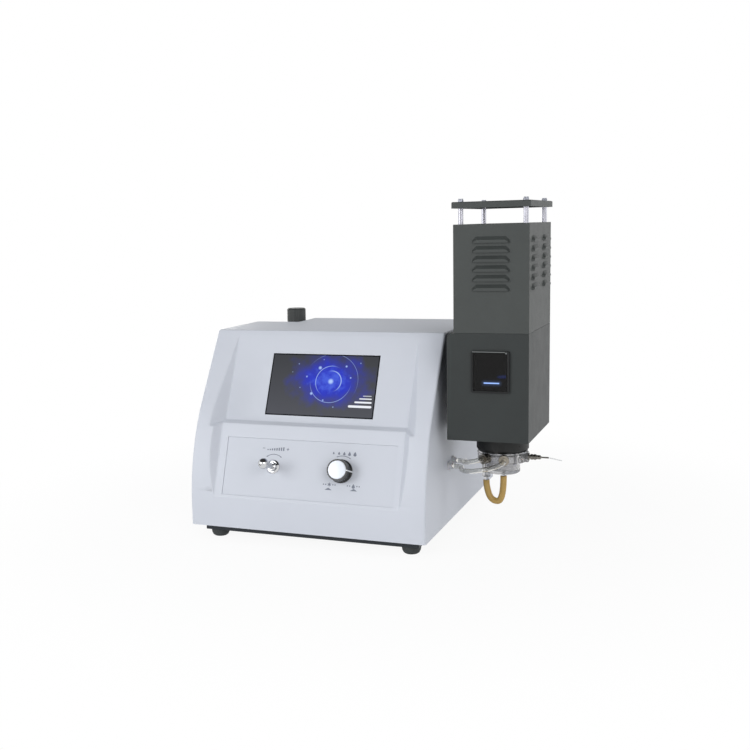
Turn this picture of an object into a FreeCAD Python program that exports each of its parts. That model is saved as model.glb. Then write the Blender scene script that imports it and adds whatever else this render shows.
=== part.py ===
import FreeCAD, Part
import math
import os
import re
import Sketcher
from FreeCAD import Placement, Rotation, Vector

# Flame photometer. Millimetres, +Z up, front faces -Y, +X to the right.
# The origin is on the bench, under the middle of the whole outline.

doc = FreeCAD.newDocument("FlamePhotometer")

# ---------------------------------------------------------------- sizes

SIZES = [
    # cabinet
    ("body_wide", 336, "cabinet width"),
    ("body_deep", 400, "cabinet depth at the foot"),
    ("body_low", 19, "height of the cabinet's lower rim"),
    ("body_high", 281, "height of the flat top"),
    ("body_wall", 4, "moulded wall"),
    ("nose_high", 124, "where the upright front would meet the sloping front"),
    ("top_setback", 103.8, "front rim of the top behind the foot of the front"),
    ("top_deep", 200.2, "flat top, front to back"),
    ("front_sweep", 253, "radius that blends the upright front into the slope"),
    ("rear_high", 170, "top of the upright rear wall"),
    ("edge_round", 3, "outer edges of the moulding"),
    ("recess_side", 35.5, "fascia floors inside the cabinet's sides"),
    ("recess_draft", 40, "slope of the fascia walls"),
    ("recess_round", 3, "soft edges of the fascia"),
    ("screen_tilt", 25, "screen floor, from upright"),
    ("screen_high", 210, "middle of the screen"),
    ("screen_back", 69.5, "middle of the screen behind the foot of the front"),
    ("screen_side", 4, "middle of the screen right of centre"),
    ("screen_rise", 72, "screen floor above the middle of the screen"),
    ("screen_drop", 54, "screen floor below the middle of the screen"),
    ("glass_wide", 157, "cover glass"),
    ("glass_tall", 89, "cover glass"),
    ("glass_thick", 2, "cover glass and its rebate"),
    ("glass_rim", 3.5, "rebate round the screen opening"),
    ("panel_tilt", 20, "control floor, from upright"),
    ("panel_high", 102.4, "middle of the control panel"),
    ("panel_back", 15.5, "middle of the control panel behind the foot"),
    ("panel_rise", 62.5, "control floor above its middle"),
    ("panel_drop", 46, "control floor below its middle"),
    ("plate_wide", 245, "control plate"),
    ("plate_tall", 80, "control plate"),
    ("plate_thick", 1.5, "control plate"),
    ("plate_side", 1.5, "control plate right of centre"),
    ("plate_sunk", 0.8, "control plate below its floor"),
    ("seat_gap", 0.2, "clearance round plates and glass in their rebates"),
    ("bay_wide", 69.5, "regulator bay, from the left side"),
    ("bay_front", 37, "front wall of the bay behind the middle"),
    ("bay_floor", 110, "floor of the bay"),
    # chassis and feet
    ("tray_inset", 14.5, "chassis pan inside the cabinet's sides"),
    ("tray_deep", 380, "chassis pan, front to back"),
    ("tray_sheet", 1.5, "sheet steel"),
    ("tray_high", 19, "chassis pan"),
    ("fit_gap", 0.1, "clearance of pieces that sit against each other"),
    ("foot_high", 11, "rubber foot"),
    ("foot_top", 12.8, "rubber foot radius at the chassis"),
    ("foot_base", 8.6, "rubber foot radius at the bench"),
    ("foot_inset", 14.5, "feet inside the chassis pan's sides"),
    ("foot_y", 175, "feet from the middle"),
    ("base_off", 3, "chassis pan and feet right of the middle"),
    ("boss_side", 4, "chassis screws inside the side walls"),
    ("boss_y", 150, "chassis screws from the middle"),
    ("post_tall", 8, "circuit board standoffs"),
    # burner column
    ("bracket_deep", 16.25, "housing beyond the cabinet's side"),
    ("column_y", -74.2, "middle of the column"),
    ("column_wide", 95.5, "chimney width"),
    ("column_deep", 154.6, "chimney depth"),
    ("column_low", 148, "underside of the burner housing"),
    ("column_split", 286.6, "seam between housing and chimney"),
    ("column_high", 423.1, "chimney top"),
    ("column_wall", 2, "housing sheet"),
    ("chimney_wall", 1.5, "chimney and lid sheet"),
    ("shoulder", 9, "housing wider than the chimney, on the cabinet side"),
    ("shoulder_round", 7, "rounded shoulder"),
    ("seam_gap", 0.3, "seam between housing and chimney"),
    ("lip_high", 7, "locating lip inside the chimney"),
    ("top_flange", 20, "inward flange at the chimney top"),
    ("lid_over", 1.6, "lid wider than the chimney, each side"),
    ("lid_gap", 19.9, "lid above the chimney"),
    ("lid_tall", 8, "rim of the lid"),
    ("stud_side", 6.75, "lid posts inside the chimney's sides"),
    ("stud_front", 12.3, "lid posts inside the chimney's front and back"),
    ("post_radius", 3.3, "lid post"),
    ("screw_radius", 2, "lid screw shank"),
    ("screw_head", 3.5, "lid screw head radius"),
    ("screw_reach", 10, "lid screw below the lid plate"),
    ("louvre_wide", 47.7, "louvre hood"),
    ("louvre_tall", 8.6, "louvre hood"),
    ("louvre_out", 3.4, "louvre hood"),
    ("louvre_pitch", 11.92, "louvre spacing"),
    ("louvre_low", 340.2, "lowest louvre"),
    ("louvre_side", 38.6, "side louvres, middle from the column's middle"),
    ("window_wide", 48.7, "view window"),
    ("window_tall", 53.6, "view window"),
    ("window_high", 238, "middle of the view window"),
    ("window_out", 3, "window frame thickness"),
    ("window_rim", 2.4, "window frame border"),
    ("window_round", 3, "window corners"),
    ("beam_high", 238, "optical axis"),
    ("beam_radius", 12, "optical tube"),
    # burner and mixing chamber
    ("burner_off", -0.5, "burner axis right of the column's middle"),
    ("burner_y", -75, "burner axis"),
    ("collar_radius", 34.5, "collar under the housing"),
    ("collar_low", 123, "underside of the collar"),
    ("stem_radius", 11, "burner stem"),
    ("burner_top", 220, "burner head"),
    ("burner_radius", 13, "burner head"),
    ("disc_radius", 33.2, "mixing chamber, upper disc"),
    ("disc_low", 109, "mixing chamber, upper disc"),
    ("cup_radius", 23, "mixing chamber, lower cup"),
    ("cup_low", 93, "mixing chamber, lower cup"),
    ("cup_wall", 4, "mixing chamber wall"),
    ("port_high", 116, "gas and air fittings"),
    ("port_radius", 6.7, "gas and air fittings"),
    ("port_reach", 41.5, "outer face of the fittings from the burner axis"),
    ("gas_turn", 243.4, "direction of the gas fitting, from +X"),
    ("air_turn", 283.7, "direction of the air fitting, from +X"),
    ("barb_radius", 3, "hose barbs"),
    ("hose_radius", 3.3, "clear hoses"),
    ("drain_radius", 4.3, "drain tube"),
    ("spray_high", 115, "nebuliser axis"),
    ("spray_reach", 61, "nebuliser tip from the burner axis"),
    ("capillary_long", 17.5, "capillary"),
    ("capillary_drop", 9.9, "capillary, below level"),
    ("capillary_radius", 0.6, "capillary"),
    # controls
    ("knob_apart", 98.8, "between the two knobs"),
    ("knob_rise", 2.2, "knob axes above the middle of the panel"),
    ("bushing_radius", 5, "valve bushings"),
    ("fine_reach", 40.5, "fine knob, plate to front"),
    ("fine_ball", 7.3, "fine knob head radius"),
    ("fine_flange", 9.5, "fine valve nut radius"),
    ("fine_stem", 3, "fine valve spindle radius"),
    ("gas_reach", 17.8, "gas knob, plate to face"),
    ("gas_skirt", 15.7, "gas knob radius at the plate"),
    ("gas_brow", 14.7, "gas knob radius at the face"),
    ("gas_cap", 12.3, "cap radius"),
    ("gas_stem", 3, "gas valve spindle radius"),
    ("turn_gap", 0.05, "running clearance on spindles"),
    ("knob_gap", 0.6, "knobs above the plate"),
    # filter regulator
    ("reg_side", 27.5, "regulator axis from the bay's side wall"),
    ("reg_y", 97, "regulator axis"),
    ("reg_half", 20, "half width of the regulator block"),
    ("reg_low", 214, "regulator block"),
    ("reg_high", 262, "regulator block"),
    ("dial_low", 272.5, "regulator knob"),
    ("dial_high", 297, "regulator knob"),
    ("dial_radius", 14.7, "regulator knob"),
    ("bowl_radius", 19, "bowl"),
    ("bowl_low", 134, "bowl"),
    # fasteners
    ("small_screw", 1.3, "rear panel screw radius"),
    ("mid_screw", 1.65, "chassis and chamber screw radius"),
    ("bolt_radius", 2, "column bracket bolt radius"),
    ("port_thread", 4, "bulkhead thread radius"),
    # rear panel
    ("rear_bay", 10.5, "rear panel from the bay's side wall"),
    ("rear_side", 10, "rear panel inside the cabinet's right side"),
    ("rear_low", 28, "rear panel"),
    ("rear_top", 160, "rear panel"),
    ("rear_sheet", 1.5, "rear panel"),
    ("inlet_side", 40, "mains inlet from the rear panel's edge"),
    ("inlet_z", 64, "mains inlet"),
    ("switch_side", 40, "power switch from the rear panel's edge"),
    ("switch_z", 112, "power switch"),
    ("supply_x", 20, "gas supply connector"),
    ("supply_z", 62, "gas supply connector"),
    ("supply_reach", 27, "gas supply connector beyond the rear"),
]

sheet = doc.addObject("Spreadsheet::Sheet", "Size")
for row, (alias, size, note) in enumerate(SIZES, 1):
    sheet.set("A%d" % row, note)
    sheet.set("B%d" % row, str(size))
    sheet.setAlias("B%d" % row, alias)

# Places worked out from the driving sizes.
PLACES = [
    ("half_wide", "body_wide / 2"),
    ("recess_half", "half_wide - recess_side"),
    ("front_y", "-body_deep / 2"),
    ("rear_y", "body_deep / 2"),
    ("top_front", "front_y + top_setback"),
    ("top_back", "top_front + top_deep"),
    ("screen_y", "front_y + screen_back"),
    ("panel_y", "front_y + panel_back"),
    ("screen_slope", "tan(screen_tilt)"),
    ("panel_slope", "tan(panel_tilt)"),
    ("fold_z", "screen_high - screen_drop * cos(screen_tilt)"),
    ("ceiling", "body_high - body_wall"),
    ("inside", "half_wide - body_wall"),
    ("screen_in", "screen_y + body_wall / cos(screen_tilt)"),
    ("panel_in", "panel_y + body_wall / cos(panel_tilt)"),
    ("rear_slope", "(rear_y - top_back) / (body_high - rear_high)"),
    ("rear_in", "body_wall * sqrt(1 + rear_slope * rear_slope)"),
    ("bay_x", "-half_wide + bay_wide"),
    ("boss_x", "inside - boss_side"),
    ("tray_half", "half_wide - tray_inset"),
    ("foot_x", "tray_half - foot_inset"),
    ("reg_x", "bay_x - reg_side"),
    ("rear_left", "bay_x + rear_bay"),
    ("rear_right", "half_wide - rear_side"),
    ("inlet_x", "rear_right - inlet_side"),
    ("switch_x", "rear_right - switch_side"),
    ("tray_low", "foot_high"),
    ("tray_rim", "tray_low + tray_high"),
    ("column_x", "half_wide + bracket_deep + shoulder + column_wide / 2"),
    ("burner_x", "column_x + burner_off"),
    ("lid_low", "column_high + lid_gap"),
    ("lid_high", "lid_low + lid_tall"),
    ("stud_x", "column_wide / 2 - stud_side"),
    ("stud_y", "column_deep / 2 - stud_front"),
    ("column_front", "column_y - column_deep / 2"),
    ("column_back", "column_y + column_deep / 2"),
    ("column_left", "column_x - column_wide / 2"),
    ("column_right", "column_x + column_wide / 2"),
    ("housing_left", "column_left - shoulder"),
    ("chimney_low", "column_split + seam_gap"),
    ("foremost", "panel_y + knob_rise * sin(panel_tilt) - fine_ball - (fine_reach - plate_sunk"
                 " - fine_ball) * cos(panel_tilt)"),
    ("rightmost", "burner_x + spray_reach + capillary_long * cos(capillary_drop)"
                  " + capillary_radius * sin(capillary_drop)"),
    ("centre_x", "(rightmost - half_wide) / 2"),
    ("centre_y", "(foremost + rear_y + supply_reach) / 2"),
]

places = doc.addObject("Spreadsheet::Sheet", "Place")


def in_sheets(expression):
    """Put the sheet's name in front of every size and place in an expression."""
    def named(match):
        word = match.group()
        if word in SIZE_NAMES:
            return "Size." + word
        return "Place." + word if word in PLACE_NAMES else word
    return re.sub(r"[a-z]\w*", named, str(expression))


SIZE_NAMES = {alias for alias, size, note in SIZES}
PLACE_NAMES = {alias for alias, formula in PLACES}
for row, (alias, formula) in enumerate(PLACES, 1):
    places.set("A%d" % row, alias.replace("_", " "))
    places.set("B%d" % row, "=" + in_sheets(formula).replace("Place.", ""))
    places.setAlias("B%d" % row, alias)
doc.recompute()


# ---------------------------------------------------------------- helpers

NODES = []
X_AXIS, Y_AXIS, Z_AXIS = Vector(1, 0, 0), Vector(0, 1, 0), Vector(0, 0, 1)
PLANES = {"x": "YZ_Plane", "y": "XZ_Plane", "z": "XY_Plane"}


def number(expression):
    return float(sheet.evalExpression(in_sheets(expression)))


def bind(thing, **sizes):
    for path, expression in sizes.items():
        thing.setExpression(path.replace("__", "."), in_sheets(expression))


def place(thing, x, y, z, axis=None, angle="0"):
    """Place a piece by its distance from the middle of the cabinet."""
    if axis:
        thing.Placement = Placement(Vector(), Rotation(axis, 45))
        bind(thing, Placement__Rotation__Angle=angle)
    bind(thing, Placement__Base__x="%s - centre_x" % x, Placement__Base__y="%s - centre_y" % y,
         Placement__Base__z=z)


def make_body(label, x="0", y="0", z="0", axis=None, angle="0", node=True):
    made = doc.addObject("PartDesign::Body", label)
    made.Label = label
    place(made, x, y, z, axis, angle)
    if node:
        NODES.append(made)
    return made


def origin_part(owner, role):
    return [part for part in owner.Origin.OriginFeatures if part.Role == role][0]


def make_sketch(owner, name, axis, level):
    made = owner.newObject("Sketcher::SketchObject", name)
    made.AttachmentSupport = [(origin_part(owner, PLANES[axis]), "")]
    made.MapMode = "FlatFace"
    bind(made, AttachmentOffset__Base__z="-(%s)" % level if axis == "y" else level)
    return made


def fix(made, kind, expression, *where):
    index = made.addConstraint(Sketcher.Constraint(kind, *where, number(expression)))
    bind(made, **{"Constraints[%d]" % index: expression})


def draw_loop(made, corners):
    points = [Vector(number(x), number(y), 0) for x, y in corners]
    first = made.GeometryCount
    count = len(points)
    made.addGeometry([Part.LineSegment(points[i], points[(i + 1) % count]) for i in range(count)])
    for i in range(count):
        made.addConstraint(Sketcher.Constraint("Coincident", first + i, 2, first + (i + 1) % count, 1))
    for i, (x, y) in enumerate(corners):
        fix(made, "DistanceX", x, -1, 1, first + i, 1)
        fix(made, "DistanceY", y, -1, 1, first + i, 1)


def draw_circle(made, x, y, radius):
    middle = Vector(number(x), number(y), 0)
    index = made.addGeometry(Part.Circle(middle, Vector(0, 0, 1), number(radius)))
    fix(made, "DistanceX", x, -1, 1, index, 3)
    fix(made, "DistanceY", y, -1, 1, index, 3)
    fix(made, "Radius", radius, index)


def rect(x_low, x_high, y_low, y_high):
    return [(x_low, y_low), (x_high, y_low), (x_high, y_high), (x_low, y_high)]


def centred(wide, tall, x="0", y="0"):
    half_w, half_t = "(%s) / 2" % wide, "(%s) / 2" % tall
    return rect("%s - %s" % (x, half_w), "%s + %s" % (x, half_w),
                "%s - %s" % (y, half_t), "%s + %s" % (y, half_t))


def lean(made, floor, level):
    """Lay a sketch on a tilted floor, at a height above it."""
    y, z, tilt = floor
    made.AttachmentOffset = Placement(Vector(), Rotation(Vector(1, 0, 0), 60))
    bind(made, AttachmentOffset__Rotation__Angle="90 - %s" % tilt,
         AttachmentOffset__Base__y="%s - (%s) * cos(%s)" % (y, level, tilt),
         AttachmentOffset__Base__z="%s + (%s) * sin(%s)" % (z, level, tilt))


def swing(made, turn, level):
    """Face a sketch outward in a direction round the Z axis."""
    made.AttachmentOffset = Placement(Vector(), Rotation(Vector(0, 1, 0), 60))
    bind(made, AttachmentOffset__Rotation__Angle=turn,
         AttachmentOffset__Base__x="(%s) * sin(%s)" % (level, turn),
         AttachmentOffset__Base__z="(%s) * cos(%s)" % (level, turn))


def prism(owner, name, axis, low, high, loops=(), circles=(), cut=False, draft=None, floor=None,
          turn=None):
    """Pad or pocket between two levels of an axis, a tilted floor or a radius."""
    made = make_sketch(owner, name + "Sketch", axis, high if axis == "y" else low)
    if floor:
        lean(made, floor, low)
    if turn:
        swing(made, turn, low)
    for corners in loops:
        draw_loop(made, corners)
    for circle in circles:
        draw_circle(made, *circle)
    feature = owner.newObject("PartDesign::Pocket" if cut else "PartDesign::Pad", name)
    feature.Profile = made
    feature.Type = "Length"
    feature.Reversed = cut
    bind(feature, Length="(%s) - (%s)" % (high, low))
    if draft:
        bind(feature, TaperAngle=draft)
    doc.recompute()
    return feature


def blended(owner, name, axis, *outlines, cut=False):
    """Straight-sided loft through outlines at two or more levels of an axis."""
    made = []
    for index, (level, corners) in enumerate(outlines):
        made.append(make_sketch(owner, "%sOutline%d" % (name, index), axis, level))
        draw_loop(made[-1], corners)
    kind = "SubtractiveLoft" if cut else "AdditiveLoft"
    feature = owner.newObject("PartDesign::" + kind, name)
    feature.Profile = made[0]
    feature.Sections = made[1:]
    feature.Ruled = True
    doc.recompute()
    return feature


def turn_up(owner, profile):
    """Turn a profile of radius and height about the piece's own Z."""
    made = make_sketch(owner, "Profile", "y", "0")
    draw_loop(made, profile)
    feature = owner.newObject("PartDesign::Revolution", "Turned")
    feature.Profile = made
    feature.ReferenceAxis = (made, ["V_Axis"])
    feature.Angle = 360
    doc.recompute()


def turned(label, profile, x, y, z, axis=None, angle="0", node=True):
    owner = make_body(label, x, y, z, axis, angle, node)
    turn_up(owner, profile)
    return owner


def middle_of(edge):
    return edge.valueAt((edge.FirstParameter + edge.LastParameter) / 2)


def is_sharp(shape, edge):
    faces = shape.ancestorsOfType(edge, Part.Face)
    spot = middle_of(edge)
    normals = [face.normalAt(*face.Surface.parameter(spot)) for face in faces]
    return len(normals) == 2 and normals[0].getAngle(normals[1]) > 0.1


def dress(owner, kind, name, size, chosen):
    """Fillet or chamfer the sharp edges whose middle and length pass a test."""
    base = owner.Tip
    shape = base.Shape
    edges = ["Edge%d" % (i + 1) for i, edge in enumerate(shape.Edges)
             if chosen(middle_of(edge), edge) and is_sharp(shape, edge)]
    feature = owner.newObject("PartDesign::" + kind, name)
    feature.Base = (base, edges)
    bind(feature, **{"Radius" if kind == "Fillet" else "Size": size})
    doc.recompute()
    return feature


def around(owner, originals, count, name="Round"):
    feature = owner.newObject("PartDesign::PolarPattern", name)
    feature.Originals = originals
    feature.Axis = (origin_part(owner, "Z_Axis"), [""])
    feature.Angle = 360
    feature.Occurrences = count
    owner.Tip = feature
    doc.recompute()
    return feature


def along(owner, originals, axis, length, count, name="Row"):
    feature = owner.newObject("PartDesign::LinearPattern", name)
    feature.Originals = originals
    feature.Direction = (origin_part(owner, axis), [""])
    bind(feature, Length=length)
    feature.Occurrences = count
    owner.Tip = feature
    doc.recompute()
    return feature


def repeated(label, source, spots, axis=None, angle="0", turns=None):
    """Equal pieces in one node: a compound of links to one piece."""
    links = []
    for index, (x, y, z) in enumerate(spots):
        link = doc.addObject("App::Link", "%s_%d" % (label, index + 1))
        link.LinkedObject = source
        place(link, x, y, z, axis, turns[index] if turns else angle)
        links.append(link)
    group = doc.addObject("Part::Compound", label)
    group.Label = label
    group.Links = links
    NODES.append(group)
    doc.recompute()
    return group


def tube_along(label, points, radius):
    """Straight runs joined by tangent arcs, swept with a round section."""
    middle = Vector(number("centre_x"), number("centre_y"), 0)
    spots = [Vector(*[number(value) for value in point]) - middle for point in points]
    edges = []
    bends = []
    start = spots[0]
    for before, corner, after in zip(spots, spots[1:], spots[2:]):
        into = corner - before
        out = after - corner
        reach = 0.45 * min(into.Length, out.Length)
        bend = reach / math.tan(into.getAngle(out) / 2)
        into.normalize()
        out.normalize()
        inward = out - into
        inward.normalize()
        apex = corner + inward * (math.hypot(bend, reach) - bend)
        edges.append(Part.LineSegment(start, corner - into * reach).toShape())
        start = corner + out * reach
        edges.append(Part.Arc(corner - into * reach, apex, start).toShape())
        bends.append(round(bend, 1))
    edges.append(Part.LineSegment(start, spots[-1]).toShape())
    path = Part.Wire(edges)
    ring = Part.Wire(Part.Circle(spots[0], spots[1] - spots[0], number(radius)).toShape())
    made = doc.addObject("Part::Feature", label)
    made.Label = label
    made.Shape = path.makePipeShell([ring], True, False)
    full = math.pi * number(radius) ** 2 * path.Length
    print("%s: bends %s, length %.1f, volume share %.4f"
          % (label, bends, path.Length, made.Shape.Volume / full))
    NODES.append(made)
    return made


def on_floor(label, floor, x="0", up="0", node=True):
    """A body standing on a tilted floor, its Z pointing out of it."""
    y, z, tilt = floor
    return make_body(label, x, "%s + (%s) * sin(%s)" % (y, up, tilt),
                     "%s + (%s) * cos(%s)" % (z, up, tilt), X_AXIS, "90 - %s" % tilt, node)


# ---------------------------------------------------------------- cabinet

SCREEN = ("screen_y", "screen_high", "screen_tilt")
PANEL = ("panel_y", "panel_high", "panel_tilt")
KNOBS = [("-knob_apart / 2", "knob_rise"), ("knob_apart / 2", "knob_rise")]
BOLTS = [("-80", "208"), ("-28", "208"), ("-80", "268"), ("-28", "268")]
PORTS = [("-62", "101"), ("-84", "98")]
REG_PORT = "reg_high - 24"

cabinet = make_body("cabinet")
prism(cabinet, "Form", "x", "-half_wide", "half_wide", [[
    ("front_y", "body_low"), ("rear_y", "body_low"), ("rear_y", "rear_high"),
    ("top_back", "body_high"), ("top_front", "body_high"), ("front_y", "nose_high")]])
dress(cabinet, "Fillet", "FrontSweep", "front_sweep",
      lambda m, e: m.y < number("front_y + 0.1") and abs(m.z - number("nose_high")) < 1)
prism(cabinet, "Bay", "z", "bay_floor", "body_high + 20",
      [rect("-half_wide - 5", "bay_x", "bay_front", "rear_y + 5")], cut=True)
dress(cabinet, "Fillet", "OuterEdges", "edge_round",
      lambda m, e: abs(m.x) > number("half_wide - 0.1") and m.z > number("body_low + 1")
      or m.z > number("body_high - 0.1"))
prism(cabinet, "ScreenRecess", "z", "0", "45",
      [rect("-recess_half", "recess_half", "-screen_drop", "screen_rise")],
      cut=True, draft="recess_draft", floor=SCREEN)
prism(cabinet, "PanelRecess", "z", "0", "35",
      [rect("-recess_half", "recess_half", "-panel_drop", "panel_rise")],
      cut=True, draft="recess_draft", floor=PANEL)
dress(cabinet, "Fillet", "SoftFascia", "recess_round",
      lambda m, e: abs(m.x) < number("half_wide - 8")
      and number("front_y + 0.1") < m.y < number("top_front + 6")
      and number("panel_high - 62") < m.z < number("body_high - 6"))

INNER_FRONT = [
    ("front_y + body_wall", "body_low - 1"),
    ("front_y + body_wall", "panel_high + (front_y + body_wall - panel_in) / panel_slope"),
    ("panel_in + (fold_z - 17 - panel_high) * panel_slope", "fold_z - 17"),
    ("screen_in + (fold_z - 3.5 - screen_high) * screen_slope", "fold_z - 3.5"),
    ("screen_in + (ceiling - screen_high) * screen_slope", "ceiling")]
INNER_REAR = [
    ("rear_y - (ceiling - rear_high) * rear_slope - rear_in", "ceiling"),
    ("rear_y - body_wall", "rear_high - (rear_in - body_wall) / rear_slope"),
    ("rear_y - body_wall", "body_low - 1")]
BAY_FRONT = [("bay_front - body_wall", "ceiling"), ("bay_front - body_wall", "body_low - 1")]
prism(cabinet, "Hollow", "x", "bay_x + body_wall", "inside", [INNER_FRONT + INNER_REAR], cut=True)
prism(cabinet, "LeftHollow", "x", "-inside", "bay_x + body_wall + 1", [INNER_FRONT + BAY_FRONT],
      cut=True)
prism(cabinet, "UnderBay", "x", "-inside", "bay_x + body_wall + 1",
      [rect("bay_front - body_wall - 1", "rear_y - body_wall", "body_low - 1",
            "bay_floor - body_wall")], cut=True)
prism(cabinet, "GlassRebate", "z", "-glass_thick", "1",
      [centred("glass_wide + 2 * seat_gap", "glass_tall + 2 * seat_gap", "screen_side")],
      cut=True, floor=SCREEN)
prism(cabinet, "ScreenOpening", "z", "-body_wall - 1", "1",
      [centred("glass_wide - 2 * glass_rim", "glass_tall - 2 * glass_rim", "screen_side")],
      cut=True, floor=SCREEN)
prism(cabinet, "PlateRebate", "z", "-plate_sunk - plate_thick", "1",
      [centred("plate_wide + 2 * seat_gap", "plate_tall + 2 * seat_gap", "plate_side")],
      cut=True, floor=PANEL)
prism(cabinet, "ValveHoles", "z", "-body_wall - 1", "1",
      circles=[(x, y, "bushing_radius + fit_gap") for x, y in KNOBS], cut=True, floor=PANEL)
prism(cabinet, "ColumnHoles", "x", "inside - 1", "half_wide + 1",
      circles=[("burner_y", "beam_high", "beam_radius + fit_gap")]
      + [(y, z, "bolt_radius + fit_gap") for y, z in BOLTS]
      + [(y, z, "port_thread + fit_gap") for y, z in PORTS], cut=True)
prism(cabinet, "OutletHole", "x", "bay_x - 1", "bay_x + body_wall + 1",
      circles=[("reg_y", REG_PORT, "5 + fit_gap")], cut=True)
prism(cabinet, "RearRebate", "y", "rear_y - rear_sheet", "rear_y + 1",
      [rect("rear_left - seat_gap", "rear_right + seat_gap", "rear_low - seat_gap",
            "rear_top + seat_gap")], cut=True)
prism(cabinet, "RearOpening", "y", "rear_y - body_wall - 1", "rear_y + 1",
      [rect("rear_left + 8", "rear_right - 8", "rear_low + 8", "rear_top - 8")], cut=True)
REAR_SCREWS = [(x, z) for x in ("rear_left + 4", "(rear_left + rear_right) / 2", "rear_right - 4")
               for z in ("rear_low + 4", "rear_top - 4")]
prism(cabinet, "RearScrewHoles", "y", "rear_y - body_wall - 1", "rear_y + 1",
      circles=[(x, z, "small_screw + 0.05") for x, z in REAR_SCREWS], cut=True)
BOSSES = [(sx, sy) for sx in (-1, 1) for sy in (-1, 1)]
prism(cabinet, "Bosses", "z", "tray_rim + tray_sheet", "tray_rim + 15",
      [rect("%s - 14" % side, "%s + 1" % side, "%d * boss_y - 7" % sy, "%d * boss_y + 7" % sy)
       if side == "inside" else
       rect("-inside - 1", "14 - inside", "%d * boss_y - 7" % sy, "%d * boss_y + 7" % sy)
       for side in ("inside", "-inside") for sy in (-1, 1)])
prism(cabinet, "BossHoles", "z", "tray_rim + tray_sheet - 1", "tray_rim + 13",
      circles=[("%d * boss_x" % sx, "%d * boss_y" % sy, "mid_screw + fit_gap")
               for sx, sy in BOSSES], cut=True)

# ---------------------------------------------------------------- chassis

tray = make_body("chassis_tray")
prism(tray, "Rim", "z", "tray_rim", "tray_rim + tray_sheet",
      [centred("2 * (inside - fit_gap)", "body_deep - 2 * (body_wall + fit_gap)")])
prism(tray, "Pan", "z", "tray_low", "tray_rim + tray_sheet / 2",
      [centred("2 * tray_half", "tray_deep", "base_off")])
prism(tray, "Well", "z", "tray_low + tray_sheet", "tray_rim + tray_sheet + 1",
      [centred("2 * (tray_half - tray_sheet)", "tray_deep - 2 * tray_sheet", "base_off")], cut=True)
prism(tray, "Holes", "z", "tray_low - 1", "tray_rim + tray_sheet + 1",
      circles=[("base_off + %d * foot_x" % sx, "%d * foot_y" % sy, "3.1") for sx, sy in BOSSES]
      + [("%d * boss_x" % sx, "%d * boss_y" % sy, "mid_screw + 0.2") for sx, sy in BOSSES],
      cut=True)
slot = prism(tray, "Slot", "z", "tray_low - 1", "tray_low + tray_sheet + 1",
             [centred("80", "5", "-70", "-150")], cut=True)
along(tray, [slot], "Y_Axis", "5 * 12", 6, "Slots")

foot = turned("foot", [("0", "0"), ("foot_base", "0"), ("foot_base + 2", "1.4"),
                       ("foot_top - 0.6", "4.6"), ("foot_top", "8"), ("foot_top", "foot_high"),
                       ("3", "foot_high"), ("3", "foot_high + 1.8"), ("4.5", "foot_high + 1.8"),
                       ("2.5", "foot_high + 6"), ("0", "foot_high + 6")],
              "0", "0", "0", node=False)
repeated("feet", foot, [("base_off + %d * foot_x" % sx, "%d * foot_y" % sy, "0")
                        for sx, sy in BOSSES])


def screw(label, radius, reach, head, tall):
    """Pan-head screw, head up, its seat at zero."""
    return turned(label, [("0", "-(%s)" % reach), (radius, "-(%s)" % reach), (radius, "0"),
                          (head, "0"), (head, "(%s) * 0.6" % tall), ("(%s) * 0.7" % head, tall),
                          ("0", tall)], "0", "0", "0", node=False)


rim_screw = screw("rim_screw", "mid_screw", "11", "3.2", "2")
repeated("chassis_screws", rim_screw,
         [("%d * boss_x" % sx, "%d * boss_y" % sy, "tray_rim") for sx, sy in BOSSES],
         X_AXIS, "180")

board = make_body("main_board", "-10", "-120", "tray_low + tray_sheet + post_tall")
prism(board, "Board", "z", "0", "1.6", [centred("162", "102")])
prism(board, "Chips", "z", "1.6", "4.4", [centred("22", "22", "-10", "10"),
                                         centred("14", "10", "25", "18"),
                                         centred("14", "10", "25", "0"),
                                         centred("8", "18", "-40", "12")])
prism(board, "Sockets", "z", "1.6", "11", [centred("30", "8", "-45", "-42"),
                                          centred("30", "8", "-5", "-42"),
                                          centred("20", "8", "35", "-42")])
prism(board, "Capacitors", "z", "1.6", "14",
      circles=[("55", "-20", "5"), ("55", "-5", "5"), ("55", "10", "5")])

supply = make_body("power_supply", "30", "110", "tray_low + tray_sheet")
prism(supply, "Case", "z", "0", "36", [centred("100", "70")])
vent = prism(supply, "Vent", "z", "34.5", "37", [centred("3", "50", "-40", "0")], cut=True)
along(supply, [vent], "X_Axis", "80", 11, "Vents")
prism(supply, "Terminals", "y", "-43", "-34", [rect("-40", "40", "6", "20")])

# ---------------------------------------------------------------- screen

glass = on_floor("display_glass", SCREEN, "screen_side")
prism(glass, "Sheet", "z", "-glass_thick", "0", [centred("glass_wide", "glass_tall")])
module = on_floor("display_module", SCREEN, "screen_side")
prism(module, "Module", "z", "-body_wall - 8", "-body_wall", [centred("172", "104")])
prism(module, "Back", "z", "-body_wall - 9.5", "-body_wall - 8", [centred("150", "84")])
standoff = make_body("standoff", node=False)
prism(standoff, "Pillar", "z", "0", "post_tall", circles=[("0", "0", "2.8")])
BEHIND = "(body_wall + 9.5 + post_tall)"
BOARD_SPOTS = [(x, y, "tray_low + tray_sheet") for x in ("-85", "65") for y in ("-165", "-75")]
SCREEN_SPOTS = [("screen_side + %d * 68" % sx,
                 "screen_y + %d * 36 * sin(screen_tilt) + %s * cos(screen_tilt)" % (sy, BEHIND),
                 "screen_high + %d * 36 * cos(screen_tilt) - %s * sin(screen_tilt)" % (sy, BEHIND))
                for sx, sy in BOSSES]
repeated("board_standoffs", standoff, BOARD_SPOTS + SCREEN_SPOTS, X_AXIS,
         turns=["0"] * 4 + ["90 - screen_tilt"] * 4)
display_board = on_floor("display_board", SCREEN, "screen_side")
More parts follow.
